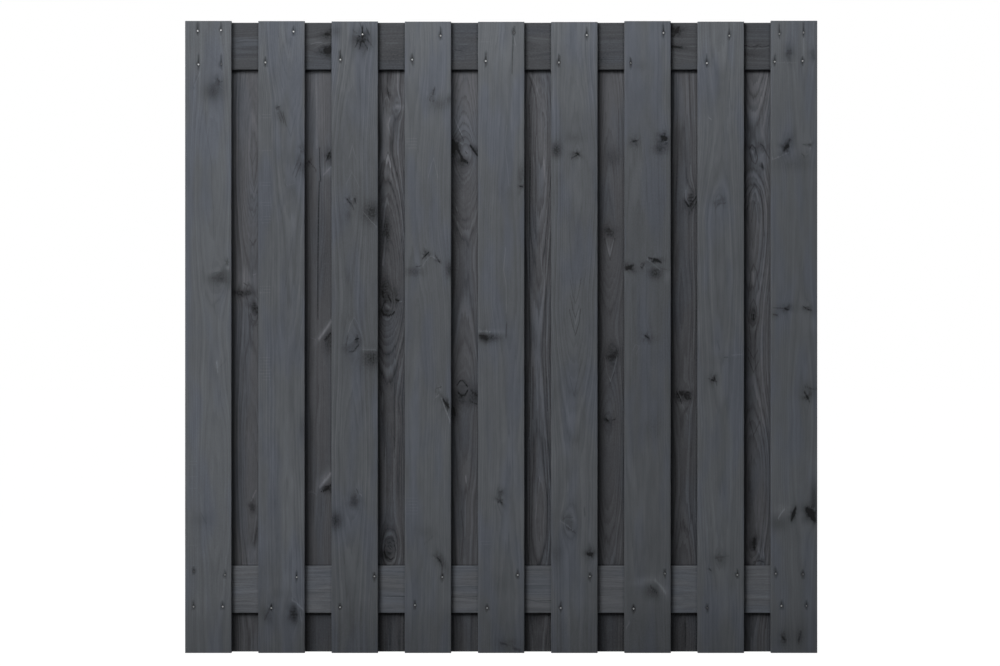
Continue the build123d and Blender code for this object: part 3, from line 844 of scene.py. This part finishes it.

# %% Painted light and shade along the planks: distance from the foot or the left end, and tone
PAINTED_LIGHT_AND_SHADE = {
    "front": [
        (0, -0.14), (60, -0.11), (160, 0.05), (450, 0.06), (900, -0.08), (1300, -0.09), (1550, 0),
        (1800, 0.2),
    ],
    "back": [
        (0, -0.29), (100, -0.27), (280, -0.07), (600, -0.14), (1000, -0.12), (1300, -0.1), (1550, 0.06),
        (1800, 0.18),
    ],
    "top": [
        (0, 0.08), (170, 0.07), (400, 0.03), (600, -0.03), (1000, -0.06), (1210, -0.04), (1420, 0.04),
        (1800, 0.06),
    ],
    "bottom": [
        (0, 0.14), (170, 0.13), (400, 0.06), (600, -0.06), (1000, -0.12), (1210, -0.08), (1420, 0.08),
        (1800, 0.1),
    ],
}

# %% [markdown]
# ## The planks as meshes
#
# A plank could be a plain block with everything painted on, but its nail pits and cracks catch the light,
# and the grain needs its values at many points. So each face is a net of points that is wide on clear wood
# and close round every knot, stroke, nail and crack. First come the points of each kind of mark, as places
# on the face, depths below it, and how dark it is painted there. In the pits, the tears and the cracks that
# darkness is partly stain that pooled and partly painted shade of the hollows.

# %% Nail pits, with the wood torn above and below the head
PIT_RADIUS = 2.7 * MM
PIT_DEPTH = 1.8 * MM
PIT_LIP = 0.1 * MM
PIT_TAPER = 0.93
PIT_POINTS = 16
TEAR_HALF_WIDTH = 2.4 * MM
TEAR_DEPTH = 0.9 * MM
TEAR_STEPS = np.linspace(0.25, 1.0, 6)
# The darkness of pits and tears is partly stain and partly painted shade in the hollows.
LIP_DARK, PIT_DARK = 0.75, 0.9
TEAR_DARK, TEAR_SIDE_DARK = 1.3, 0.55


def circle(centre, radius, count, stretch=1.0):
    """Points round a circle, or round an ellipse that is longer along the plank."""
    angle = np.arange(count) * math.tau / count
    return np.column_stack((
        centre[0] + radius * np.sin(angle), centre[1] + radius * stretch * np.cos(angle),
    ))


def pit_points(nail, up_length, down_length):
    """Points of one pit as (place, depth, darkness), with the loops that must stay whole."""
    centre = np.array(nail)
    lip, foot = (circle(centre, PIT_RADIUS * taper, PIT_POINTS) for taper in (1, PIT_TAPER))
    places = [lip, foot, centre[None]]
    depths = [np.full(PIT_POINTS, PIT_LIP), np.full(PIT_POINTS, PIT_DEPTH), [PIT_DEPTH]]
    darks = [np.full(PIT_POINTS, LIP_DARK), np.full(PIT_POINTS, PIT_DARK), [PIT_DARK]]
    for sign, length in ((1, up_length), (-1, down_length)):
        for part in TEAR_STEPS:
            half = TEAR_HALF_WIDTH * (1 - part)
            row = [(0.0, TEAR_DEPTH * (1 - part), TEAR_DARK * (1 - 0.5 * part))]
            if part < 1:
                row += [(-half, 0.0, TEAR_SIDE_DARK), (half, 0.0, TEAR_SIDE_DARK)]
            for side, depth, dark in row:
                places.append([[centre[0] + side, centre[1] + sign * (PIT_RADIUS + part * length)]])
                depths.append([depth])
                darks.append([dark])
    loops = [range(PIT_POINTS), range(PIT_POINTS, 2 * PIT_POINTS)]
    return np.vstack(places), np.concatenate(depths), np.concatenate(darks), loops


# %% Cracks, strokes and knots
CRACK_STEP = 6 * MM
# A crack's bottom is painted dark: partly stain that pooled, partly painted shade.
CRACK_LINES = (0, 0.9 * MM, 0.8), (-0.7 * MM, 0, 0.1), (0.7 * MM, 0, 0.1)  # beside, depth and darkness
STROKE_STEP = 4.5 * MM
KNOT_RINGS = (0.0, 0.35, 0.7, 0.93, 1.07, 1.3, 1.7, 2.3, 3.1)


def crack_points(stops):
    """Points along both lips and the bottom of a crack, which closes to nothing at its ends."""
    stops = np.array(stops) * MM
    along = np.arange(stops[:, 1].min(), stops[:, 1].max(), CRACK_STEP)
    order = np.argsort(stops[:, 1])
    across = np.interp(along, stops[order, 1], stops[order, 0])
    open_by = np.sin(np.linspace(0, math.pi, len(along)))
    places, depths, darks = [], [], []
    for side, depth, dark in CRACK_LINES:
        places.append(np.column_stack((across + side * (0.5 + 0.5 * open_by), along)))
        depths.append(depth * open_by)
        darks.append(dark * open_by)
    return np.vstack(places), np.concatenate(depths), np.concatenate(darks)


def stroke_points(half_width, stops):
    """Points along the middle of a stroke and along both its sides."""
    stops = np.array(stops)
    passed = np.concatenate(([0], np.cumsum(np.hypot(*np.diff(stops, axis=0).T))))
    spots = np.linspace(0, passed[-1], max(4, int(passed[-1] / STROKE_STEP)))
    middle = np.column_stack([np.interp(spots, passed, side) for side in stops.T])
    ahead = np.gradient(middle, axis=0)
    ahead /= np.linalg.norm(ahead, axis=1)[:, None]
    aside = half_width * ahead[:, ::-1] * (-1, 1)
    return np.vstack((middle, middle + aside, middle - aside))


def knot_points(plank, through):
    """Rings of points round each knot, where it comes out of a face."""
    places = [np.zeros((0, 2))]
    for knot_across, knot_along, radius, slant, _ in plank["knots"]:
        centre = (knot_across + slant * through, knot_along + KNOT_RISE * slant * through)
        for ring in KNOT_RINGS:
            count = int(10 + 10 * ring) if ring else 1
            places.append(circle(centre, ring * radius, count, stretch=1.15 + 0.25 * ring))
    return np.vstack(places)


# %% [markdown]
# ## The net of one face
#
# The marks' points come first. A plain grid, shaken a little so that no pattern shows, fills the clear
# wood between them, and points that crowd each other are left out. The net is joined by a Delaunay
# triangulation, which makes the roundest triangles that it can. It is joined as if planks were half as
# long, so that its triangles run along the grain.

# %% Net of one face
ACROSS_STEP = 5.5 * MM
ALONG_STEP = 11.0 * MM
GRID_SHAKE = 0.12
EASED_EDGE = 1.5 * MM
MARGIN = np.array((EASED_EDGE + 2 * MM, 3 * MM))
MARK_GAP = 1.1 * MM
GRID_GAP = 2.6 * MM
SQUASH = 0.5
TEAR_SHORTEST = (9, 4)  # above and below the head, in millimetres
TEAR_LONGEST = (22, 9)
FOOT_TEAR_SHARE = 0.45  # the nails of the bottom rail tore the wood less


def thin_out(places, kept, gap):
    """Which places keep their distance from points that are already there, and from each other."""
    stretch = np.array([1.0, SQUASH])
    good = np.ones(len(places), bool)
    if len(kept) and len(places):
        away = ((places[:, None] - kept[None]) * stretch) ** 2
        good = away.sum(2).min(1) > gap**2
    for index in np.flatnonzero(good):
        if good[index]:
            near = (((places[index + 1:] - places[index]) * stretch) ** 2).sum(1) < (0.6 * gap) ** 2
            good[index + 1:][near] = False
    return good


def rim_points(length, rows, columns):
    """Points round a face: up its left side and its right side, then across its foot and its head."""
    sides = [np.column_stack((np.full(len(rows), side), rows)) for side in columns[[0, -1]]]
    inner = columns[1:-1]
    ends = [np.column_stack((inner, np.full(len(inner), height))) for height in (0, length)]
    return np.vstack(sides + ends)


def cut_marks(plank, through, rim, draw):
    """The rim, the nail pits and the cracks, with the edges that the net has to keep."""
    marks = [(rim, np.zeros(len(rim)), np.zeros(len(rim)))]
    edges = []
    start = len(rim)
    for nail in plank["nails"][through > 0]:
        share = 1.0 if nail[1] > plank["length"] / 2 else FOOT_TEAR_SHARE
        *pit, loops = pit_points(nail, *(draw.uniform(TEAR_SHORTEST, TEAR_LONGEST) * share * MM))
        for loop in loops:
            loop = [start + index for index in loop]
            edges += zip(loop, loop[1:] + loop[:1])
        marks.append(pit)
        start += len(pit[0])
    for stops in plank["cracks"]:
        places, depth, dark = crack_points(stops)
        marks.append((places, depth * (through == 0), dark * (through == 0)))
    return [np.concatenate(kind) for kind in zip(*marks)], edges


def face_net(plank, through, rows, columns):
    """Points, depths, darkness and triangles of one broad face."""
    draw = np.random.default_rng(plank["seed"])
    rim = rim_points(plank["length"], rows, columns)
    (fixed, depth, dark), edges = cut_marks(plank, through, rim, draw)
    groups = [knot_points(plank, through)]
    if through == 0:
        groups = [stroke_points(half, stops) for half, _, stops in plank["strokes"]] + groups
    reach = np.array((plank["width"], plank["length"])) - MARGIN
    for group in groups:
        group = group[((group > MARGIN) & (group < reach)).all(1)]
        fixed = np.vstack((fixed, group[thin_out(group, fixed, MARK_GAP)]))
    grid = np.array(np.meshgrid(columns[1:-1], rows[1:-1])).reshape(2, -1).T
    grid = grid + draw.uniform(-GRID_SHAKE, GRID_SHAKE, grid.shape) * (ACROSS_STEP, ALONG_STEP)
    grid = grid[thin_out(grid, fixed[2 * len(rows):], GRID_GAP)]
    every = np.vstack((fixed, grid))
    plain = np.zeros(len(every) - len(depth))
    found = delaunay_2d_cdt([Vector((a, b * SQUASH)) for a, b in every], edges, [], 0, 1e-7)
    if len(found[0]) != len(every):
        raise ValueError(f"{plank['name']}: {len(every)} points became {len(found[0])}")
    origin = [ids[0] for ids in found[3]]
    triangles = [tuple(origin[corner] for corner in face) for face in found[2]]
    return every, np.concatenate((depth, plain)), np.concatenate((dark, plain)), triangles


# %% [markdown]
# ## The whole plank
#
# Two such nets are the front and the back of a plank. Planed boards have their long edges eased with a
# quarter round, so that they don't splinter, and square sawn ends. As they dry the faces go slightly
# hollow. All parts share their points, so the plank is one closed skin.

# %% Front and back of a plank
HOLLOW = 0.12 * MM


def broad_face(plank, through, rows, columns):
    """One face as points, darkness and faces, slightly hollow, and turned outwards."""
    places, depth, dark, triangles = face_net(plank, through, rows, columns)
    hollow = HOLLOW * np.sin(math.pi * (places[:, 0] - EASED_EDGE) / (plank["width"] - 2 * EASED_EDGE))
    hollow = hollow * (1 + 0.8 * waver(places[:, 1], plank["seed"] + 5))
    depth = depth + np.maximum(hollow, 0)
    if through > 0:
        depth = through - depth
        triangles = [face[::-1] for face in triangles]
    return np.column_stack((places[:, 0], depth, places[:, 1])), dark, triangles


# %% Eased edges and sawn ends
ARC_STEPS = 3


def section_side(thickness):
    """The eased edge of a plank, from the front face round to the back, as (inset, depth)."""
    angles = np.linspace(0, math.pi / 2, ARC_STEPS + 1)[1:]
    front = [(EASED_EDGE * (1 - math.sin(a)), EASED_EDGE * (1 - math.cos(a))) for a in angles]
    back = [(inset, thickness - depth) for inset, depth in reversed(front)]
    return front + [(0.0, thickness / 2)] + back


def sawn_ends(sides, inner):
    """The faces that close the foot and the head of a plank."""
    caps = []
    for end, turn in ((0, 1), (1, -1)):
        left, right = ([line[end] for line in side] for side in sides)
        front = [left[0], *inner[0][end], right[0]]
        back = [left[-1], *inner[1][end], right[-1]]
        caps += [corners[::turn] for corners in zip(front, front[1:], back[1:], back)]
        caps += [left[::-turn], right[::turn]]
    return [tuple(int(corner) for corner in cap) for cap in caps]


def plank_skin(plank):
    """Points, darkness, faces and sawn end faces of a plank, measured from its own corner."""
    width, length, thickness = plank["width"], plank["length"], plank["thickness"]
    rows = np.linspace(0, length, int(round(length / ALONG_STEP)) + 1)
    columns = np.linspace(EASED_EDGE, width - EASED_EDGE, int(round(width / ACROSS_STEP)) + 1)
    front, front_dark, front_faces = broad_face(plank, 0.0, rows, columns)
    back, back_dark, back_faces = broad_face(plank, thickness, rows, columns)
    points = [front, back]
    faces = front_faces + [tuple(corner + len(front) for corner in face) for face in back_faces]
    first_corners = 0, len(front)
    start = len(front) + len(back)
    steps = np.arange(len(rows))
    sides = []
    for side in (0, 1):
        joins = [first + side * len(rows) + steps for first in first_corners]
        middle = []
        for inset, depth in section_side(thickness):
            across = width - inset if side else inset
            points.append(np.column_stack((np.full(len(rows), across), np.full(len(rows), depth), rows)))
            middle.append(start + steps)
            start += len(rows)
        lines = [joins[0], *middle, joins[1]]
        for near, far in zip(lines, lines[1:]):
            quads = np.column_stack((near[:-1], near[1:], far[1:], far[:-1]))
            faces += [tuple(quad) for quad in quads[:, :: 1 - 2 * side].tolist()]
        sides.append([line[[0, -1]] for line in lines])
    row = np.arange(len(columns) - 2)
    inner = [[first + 2 * len(rows) + end * len(row) + row for end in (0, 1)] for first in first_corners]
    points = np.vstack(points)
    plain = np.zeros(len(points) - len(front_dark) - len(back_dark))
    return points, np.concatenate((front_dark, back_dark, plain)), faces, sawn_ends(sides, inner)


# %% [markdown]
# ## Tone of knots, patches and strokes
#
# Stain soaks deepest into resinous wood and end grain. A knot is darker than the board, with a black line
# round its rim where bark is left and a dark halo of cross grain. Further out lies a painted sheen: a ring
# where the cross grain is painted paler on one side and darker on the other, as tilted fibres catch the
# light. The stain marks are sums of soft hills, which is how stain spreads, and so is the painted sheen.

# %% Tone of knots and patches at any point
PATCH_PEAK = 1.6  # a patch fades outwards, so that its middle is this much stronger than its listed tone
PATCH_SPREAD = 1.25  # and its faint rim reaches further than its listed size
CORE_TONE, RIM_TONE, HALO_TONE, PAINTED_SHEEN_TONE = 0.21, 0.17, 0.20, 0.16


def patch_tone(plank, across, through, along):
    """How much lighter or darker than plain board each point is, as a share."""
    tone = np.zeros_like(across)
    for knot in plank["knots"]:
        dark = knot[-1]
        reach, turn = knot_reach(knot, across, through, along)
        start = 900 * knot[0]
        tone -= CORE_TONE * dark / (1 + np.exp(np.minimum((reach - 0.9) * 5, 50)))
        tone -= RIM_TONE * dark * np.exp(-(((reach - 1.0) / 0.28) ** 2))
        tone -= HALO_TONE * dark * (1 + 0.8 * np.sin(5 * turn + start)) * np.exp(-((reach / 2.7) ** 2))
        # Painted sheen: cross grain painted paler on one side of the knot and darker on the other.
        tone += PAINTED_SHEEN_TONE * np.exp(-(((reach - 1.7) / 0.5) ** 2)) * np.sin(2 * turn + start)
    for patch_across, patch_along, half_width, half_height, lean, strength in plank["patches"]:
        aside = across - patch_across
        above = along - patch_along
        turn = math.radians(lean)
        flat = (aside * math.cos(turn) - above * math.sin(turn)) / (PATCH_SPREAD * half_width)
        tall = (aside * math.sin(turn) + above * math.cos(turn)) / (PATCH_SPREAD * half_height)
        tone += PATCH_PEAK * strength * np.exp(-(flat**2 + tall**2))
    return tone


# %% Tone of strokes at any point
LIGHT_PEAK = 1.3  # a pale stroke is this much stronger along its middle than its listed tone


def stroke_tone(plank, across, through, along):
    """The tone that the strokes add on the front face, strongest along the middle of each."""
    tone = np.zeros_like(across)
    for half_width, strength, stops in plank["strokes"]:
        away = np.full_like(across, 1.0)
        for (start_across, start_up), (end_across, end_up) in zip(stops, stops[1:]):
            run_across, run_up = end_across - start_across, end_up - start_up
            part = (across - start_across) * run_across + (along - start_up) * run_up
            part = np.clip(part / (run_across**2 + run_up**2), 0, 1)
            beside = np.hypot(across - start_across - part * run_across, along - start_up - part * run_up)
            away = np.minimum(away, beside)
        peak = strength * (LIGHT_PEAK if strength > 0 else 1.0)
        tone += peak * np.clip(1 - away / half_width, 0, 1)
    return tone * (1 - through / plank["thickness"])


# %% [markdown]
# ## From points to a piece
#
# The mesh keeps at each point what its wood is like: the year it grew, the fibre that passes, how near a
# knot is, and its tone. The tone also carries painted light and shade: the painted shade of corners and
# hollows, lighter heads and darker feet, and the painted sheen round knots. The finish reads them, so they
# could also be changed without touching the finish. A plank is worked out lying in its own place and then
# set where its box is.

# %% Make an object, and make a plank
SMOOTH_TO = {"wood": 50, "steel": 40}  # edges that turn by more degrees than this stay sharp
LOGS_APART = 3.1  # metres between the places in the noises that two planks are cut from


def make_object(name, kind, points, faces, materials):
    """A mesh of one kind of material, smooth but for its sharp edges."""
    mesh = bpy.data.meshes.new(f"{name}_{kind}")
    mesh.from_pydata(points, [], faces)
    for material in materials:
        mesh.materials.append(material)
    mesh.shade_smooth()
    mesh.set_sharp_from_angle(angle=math.radians(SMOOTH_TO[kind]))
    piece = bpy.data.objects.new(mesh.name, mesh)
    scene.collection.objects.link(piece)
    return piece


def store(mesh, name, values):
    """Keep one number, or three, at each point of a mesh."""
    values = np.asarray(values, np.float32)
    kind, field = ("FLOAT", "value") if values.ndim == 1 else ("FLOAT_VECTOR", "vector")
    mesh.attributes.new(name, kind, "POINT").data.foreach_set(field, values.ravel())


def build_plank(plank, material, end_material):
    """One closed mesh for a plank, with what its wood is like stored at every point."""
    points, darks, faces, caps = plank_skin(plank)
    across, through, along = points.T
    year, fibre, nearest = growth(plank, across, through, along)
    # The tone along the plank is painted light and shade: lighter heads, darker feet.
    tone = plank["tone"] - darks + glide(along, plank["painted_shade_along"])
    tone = tone + patch_tone(plank, across, through, along)
    tone = tone + stroke_tone(plank, across, through, along)
    kinds = np.zeros(len(faces) + len(caps), np.int32)
    kinds[len(faces):] = 1
    faces = faces + caps
    if not plank["upright"]:
        points = points[:, ::-1]
        faces = [face[::-1] for face in faces]
    placed = (points + plank["low"]).tolist()
    piece = make_object(plank["name"], "wood", placed, faces, (material, end_material))
    piece.data.polygons.foreach_set("material_index", kinds)
    own_place = LOGS_APART * (plank["seed"] % 97)
    store(piece.data, "year", year)
    store(piece.data, "knot", nearest)
    store(piece.data, "tone", tone)
    store(piece.data, "figure", np.full(len(points), plank["figure"]))
    store(piece.data, "fibre", np.column_stack((fibre, through + own_place, along)))
    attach(piece, "root")
    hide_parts(plank["name"])
    return piece


# %% [markdown]
# ## The finish: softwood under a thin black stain
#
# The stain is nearly even, but the wood shows through it: the dense late wood of each year as a dark
# line, each year a little lighter or darker than the last, fine fibres along the grain, and cloudy
# drifts where more or less stain soaked in, some of them bluer. All of it follows the values stored
# at the points, so the same finish suits every plank and turns every corner. It is matt, with a faint
# sheen.

# %% What varies in stained wood: waves a metre across, through and along, with a shift of its own
WOOD_NOISES = {
    "fine": dict(scale=(700, 700, 9), detail=3, roughness=0.6),
    "streak": dict(scale=(260, 260, 9), shift=(0, 2, 5), roughness=0.6),
    "broad": dict(scale=(110, 110, 2.5)),
    "cloud": dict(scale=(18, 18, 6), shift=(3, 0, 7), detail=3),
    "drift": dict(scale=(22, 22, 4.5), shift=(11, 5, 0), detail=1),
    "grit": dict(scale=(260, 260, 170), shift=(7, 0, 1)),
    "fleck": dict(scale=(330, 330, 60), shift=(1, 9, 4), detail=1),
    "mottle": dict(scale=(60, 60, 11), shift=(5, 2, 8)),
}


# %% The stained wood
def stained_wood(name, colour, blue_colour, year_swing, late_line, streak_swing, cloud_swing):
    """One finish, as plain or as strongly figured as its planks are."""
    wood = Recipe(bpy.data.materials.new(name))
    fibre = wood.stored("fibre", "Vector")
    noise = {kind: wood.noise(fibre, **shape) for kind, shape in WOOD_NOISES.items()}
    ragged = wood.plus(wood.swing(noise["broad"], 0.6), wood.swing(noise["streak"], 0.35))
    year = wood.plus(wood.stored("year"), ragged)
    yearly = wood.node("TexNoise", {"noise_dimensions": "1D"}, W=year, Scale=0.9, Detail=1.0)
    part_of_year = wood.math("FRACT", year)
    late = wood.times(wood.fade(part_of_year, 0.35, 0.92), wood.fade(part_of_year, 1.0, 0.93))
    late = wood.times(late, wood.fade(noise["cloud"], 0.3, 0.62))
    grain = wood.swing(yearly.outputs["Fac"], year_swing)
    grain = wood.plus(
        wood.math("SUBTRACT", grain, wood.times(late, late_line)),
        wood.swing(noise["streak"], streak_swing),
        wood.swing(noise["fleck"], 0.6 * streak_swing),
        wood.swing(noise["cloud"], cloud_swing),
        wood.swing(noise["mottle"], 0.8 * cloud_swing),
    )
    light = wood.plus(1.0, wood.swing(noise["fine"], 0.10), wood.times(grain, wood.stored("figure")))
    in_knot = wood.fade(wood.plus(wood.stored("knot"), wood.swing(noise["grit"], 0.35)), 1.05, 0.7)
    knot_light = wood.plus(0.92, wood.swing(noise["grit"], 0.25))
    light = wood.node("Mix", Factor=in_knot, A=light, B=knot_light).outputs[0]
    uneven = wood.plus(wood.swing(noise["streak"], 0.3), wood.swing(noise["grit"], 0.55))
    tone = wood.times(wood.stored("tone"), wood.plus(1.0, uneven))
    light = wood.math("MAXIMUM", wood.times(light, wood.plus(1.0, tone)), 0.06)
    hue = wood.blend(wood.fade(noise["drift"], 0.42, 0.68), colour, blue_colour)
    relief = wood.plus(wood.times(late, 0.5), noise["fine"])
    wood.surface(
        Base_Color=wood.lit(hue, light),
        Roughness=wood.plus(0.7, wood.swing(noise["fine"], 0.1)),
        Normal=wood.relief(relief, 0.35, 0.0002),
        Specular_IOR_Level=0.12,
    )
    return wood.owner


front_finish = stained_wood(
    "stained_front", (0.082, 0.088, 0.096), (0.079, 0.087, 0.103),
    year_swing=0.14, late_line=0.13, streak_swing=0.085, cloud_swing=0.20,
)
back_finish = stained_wood(
    "stained_back", (0.072, 0.074, 0.081), (0.068, 0.073, 0.084),
    year_swing=0.50, late_line=0.46, streak_swing=0.36, cloud_swing=0.36,
)
rail_finish = stained_wood(
    "stained_rail", (0.078, 0.082, 0.090), (0.076, 0.083, 0.096),
    year_swing=0.20, late_line=0.18, streak_swing=0.20, cloud_swing=0.20,
)
print(len(front_finish.node_tree.nodes), "nodes in each finish of stained wood")

# %% [markdown]
# ## Sawn ends
#
# End grain drinks stain, so the sawn ends are darker than the faces, and the year rings cross them as
# arcs. The saw also left them rough.

# %% End grain
def end_grain(name):
    """Dark sawn wood with its rings across it."""
    wood = Recipe(bpy.data.materials.new(name))
    grit = wood.noise(wood.place(), (900, 900, 900), detail=3, roughness=0.7)
    late = wood.fade(wood.math("FRACT", wood.stored("year")), 0.4, 0.9)
    light = wood.plus(wood.math("SUBTRACT", 0.95, wood.times(late, 0.4)), wood.swing(grit, 0.35))
    wood.surface(
        Base_Color=wood.lit((0.045, 0.047, 0.050), light),
        Roughness=0.85,
        Normal=wood.relief(grit, 0.6, 0.0004),
        Specular_IOR_Level=0.2,
    )
    return wood.owner


end_finish = end_grain("stained_end_grain")
print("end grain has", len(end_finish.node_tree.nodes), "nodes")

# %% [markdown]
# ## Painted shade where planks meet
#
# The back boards and the rails are painted darker along the edges of whatever lies on them, most of all
# under the rails. This is painted shade, where one plank lies on another and shuts out the light. The lines
# follow the boxes of the planks, so they stay right if a plank moves.

# %% Painted corner shade: half width and tone of each kind
SHADE_AT_GAP_RIGHT = (8 * MM, -0.3)
SHADE_AT_GAP_LEFT = (12 * MM, -0.25)
SHADE_UNDER_RAIL = (10 * MM, -0.6)
SHADE_OVER_RAIL = (6 * MM, -0.35)


def painted_corner_shade(name, low, high):
    """Soft lines of painted shade where another plank's edge lies on this one, as strokes in the plank's own
    place.
    """
    strokes = []
    behind = name.startswith("back")
    for rail in ("top_rail", "bottom_rail") if behind else ():
        rail_low, rail_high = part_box(rail)
        for edge, corner in ((rail_low.z, SHADE_UNDER_RAIL), (rail_high.z, SHADE_OVER_RAIL)):
            strokes.append((*corner, [(0.0, edge - low.z), (high.x - low.x, edge - low.z)]))
    for number in range(1, 10):
        edge_low, edge_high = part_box(f"front_board_{number}")
        for edge, corner in ((edge_low.x, SHADE_AT_GAP_RIGHT), (edge_high.x, SHADE_AT_GAP_LEFT)):
            if not low.x < edge < high.x:
                continue
            if behind:
                strokes.append((*corner, [(edge - low.x, 0.0), (edge - low.x, high.z - low.z)]))
            elif name.endswith("rail"):
                strokes.append((*corner, [(0.0, edge - low.x), (high.z - low.z, edge - low.x)]))
    return strokes


# %% [markdown]
# ## Make the planks
#
# Every plank is described by its box in the construction model and by its own lists above, and one
# function makes them all. A rail is made like an upright plank and then laid flat, so its lists count
# from its left end.

# %% Which nails go into a plank
def nails_on(name, low, high):
    """The nails struck into a board, from the front and from the back, in the board's own place."""
    struck = ([], [])
    for group, solids in nails.items():
        from_back = "back" in group
        if name.endswith("rail") or from_back != ("back" in name):
            continue
        for nail_low, nail_high in solids:
            middle = (nail_low + nail_high) / 2
            if low.x < middle[0] < high.x:
                struck[from_back].append((middle[0] - low.x, middle[2] - low.z))
    return struck


# %% Describe each plank
FIRST_SEED = 100


def describe(name, number):
    """Everything that one plank's mesh is made from."""
    low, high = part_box(name)
    size = high - low
    upright = "board" in name
    layer = name.split("_")[0]
    place = int(name[-1]) - 1 if upright else 0
    draw = np.random.default_rng(FIRST_SEED + number)
    knots = [
        (a * MM, up * MM, radius * MM, draw.uniform(-0.5, 0.5), dark)
        for a, up, radius, dark in KNOTS.get(name, [])
    ]
    patches = [
        (a * MM, up * MM, wide * MM, tall * MM, lean, strength)
        for a, up, wide, tall, lean, strength in PATCHES.get(name, [])
    ]
    strokes = [
        (half * MM, strength, [(a * MM, up * MM) for a, up in stops])
        for half, strength, *stops in STROKES.get(name, []) + planer_ticks(name)
    ]
    return {
        "name": name,
        "slot": {"front": "front_boards", "back": "back_boards"}.get(layer, "rails"),
        "seed": FIRST_SEED + number,
        "upright": upright,
        "low": np.array(low),
        "width": size.x if upright else size.z,
        "thickness": size.y,
        "length": size.z if upright else size.x,
        "knots": knots,
        "patches": patches,
        # The strokes also carry the painted shade where planks meet.
        "strokes": strokes + painted_corner_shade(name, low, high),
        "cracks": CRACKS.get(name, []),
        "nails": nails_on(name, low, high),
        "heart": [(up * MM, a * MM, deep * MM) for up, a, deep in HEARTS[name]],
        "ring": RING_WIDTHS[layer] * MM,
        "figure": FIGURES[layer][place],
        "tone": TONES[layer][place],
        "painted_shade_along": [(up * MM, tone) for up, tone in PAINTED_LIGHT_AND_SHADE[layer]],
    }


# %% Build them all
finishes = {"front_boards": front_finish, "back_boards": back_finish, "rails": rail_finish}
plank_names = sorted(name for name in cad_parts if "nails" not in name)
triangle_count = 0
for number, name in enumerate(plank_names):
    plank = describe(name, number)
    piece = build_plank(plank, finishes[plank["slot"]], end_finish)
    triangle_count += sum(len(face.vertices) - 2 for face in piece.data.polygons)
print(len(plank_names), "planks,", triangle_count, "triangles")

# %% [markdown]
# ## The nails
#
# The nails are machine-driven, of bright steel gone dull, with thin round heads. Only the head shows,
# down in its pit, but the shank below has its rings too, as on a real nail that grips. A nail is a
# round thing, so its outline is turned about its axis.

# %% Outline of a nail
HEAD_RADIUS = 2.5 * MM
HEAD_THICKNESS = 1.0 * MM
HEAD_DISH = 0.12 * MM
SHANK_RADIUS = 1.05 * MM
POINT_LENGTH = 3.5 * MM
RINGS_START = 8 * MM
RING_PITCH = 2.0 * MM
RING_CUT = 0.12 * MM
NAIL_SIDES = 14


def nail_outline(length):
    """The nail's half outline as (radius, depth below the head's top)."""
    outline = [(0.9 * MM, HEAD_DISH), (1.2 * MM, 0.02 * MM), (HEAD_RADIUS - 0.25 * MM, 0.0)]
    outline += [(HEAD_RADIUS, 0.25 * MM), (HEAD_RADIUS, 0.75 * MM), (HEAD_RADIUS - 0.3 * MM, HEAD_THICKNESS)]
    outline += [(SHANK_RADIUS + 0.2 * MM, HEAD_THICKNESS), (SHANK_RADIUS, HEAD_THICKNESS + 0.4 * MM)]
    depth = RINGS_START
    while depth < length - POINT_LENGTH - RING_PITCH:
        outline.append((SHANK_RADIUS, depth))
        outline.append((SHANK_RADIUS - RING_CUT, depth + RING_PITCH / 2))
        depth += RING_PITCH
    outline.append((SHANK_RADIUS, length - POINT_LENGTH))
    return outline


# %% Turn the nails of a group
def turned_nail(low, high, into, first):
    """Points and faces of one closed nail, whose points start at a given number."""
    x, z = (low[0] + high[0]) / 2, (low[2] + high[2]) / 2
    top = low[1] if into > 0 else high[1]
    length = high[1] - low[1]
    outline = nail_outline(length)
    points = [(x, top + into * HEAD_DISH, z)]
    for radius, depth in outline:
        for angle in (side * math.tau / NAIL_SIDES for side in range(NAIL_SIDES)):
            points.append((x + radius * math.cos(angle), top + into * depth, z + radius * math.sin(angle)))
    points.append((x, top + into * length, z))
    last = first + len(points) - 1
    faces = []
    for side in range(NAIL_SIDES):
        after = (side + 1) % NAIL_SIDES
        faces.append((first, first + 1 + side, first + 1 + after))
        for ring in range(len(outline) - 1):
            a = first + 1 + ring * NAIL_SIDES
            b = a + NAIL_SIDES
            faces.append((a + side, b + side, b + after, a + after))
        faces.append((last, last - NAIL_SIDES + after, last - NAIL_SIDES + side))
    return points, faces


def turn_nails(group, solids, material):
    """All the nails of one group, as one object of separate closed nails."""
    into = -1.0 if "back" in group else 1.0
    points, faces = [], []
    for low, high in solids:
        nail_points, nail_faces = turned_nail(low, high, into, len(points))
        points += nail_points
        faces += nail_faces
    if into < 0:
        faces = [face[::-1] for face in faces]
    piece = make_object(group, "steel", points, faces, (material,))
    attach(piece, "root")
    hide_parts(group)
    return piece


# %% [markdown]
# ## The steel
#
# The heads went through the dip with the boards. Most wiped clean and catch the light, and some kept
# stain in specks or all over, so a fine noise makes the specks and a wide one makes heads differ.

# %% Steel
def dull_steel(name):
    """Bright steel, dulled and specked with stain."""
    steel = Recipe(bpy.data.materials.new(name))
    specks = steel.noise(steel.place(), (900, 900, 900))
    differ = steel.noise(steel.place(), (14, 14, 14), detail=0)
    stained = steel.fade(steel.plus(specks, steel.swing(differ, 0.6)), 0.5, 0.85)
    colour = steel.blend(stained, (0.26, 0.265, 0.27), (0.04, 0.04, 0.045))
    steel.surface(Base_Color=colour, Metallic=1.0, Roughness=0.5)
    return steel.owner


nail_finish = dull_steel("dull_steel")
for group, solids in nails.items():
    piece = turn_nails(group, solids, nail_finish)
    print(piece.name, len(solids), "nails,", len(piece.data.polygons), "faces")
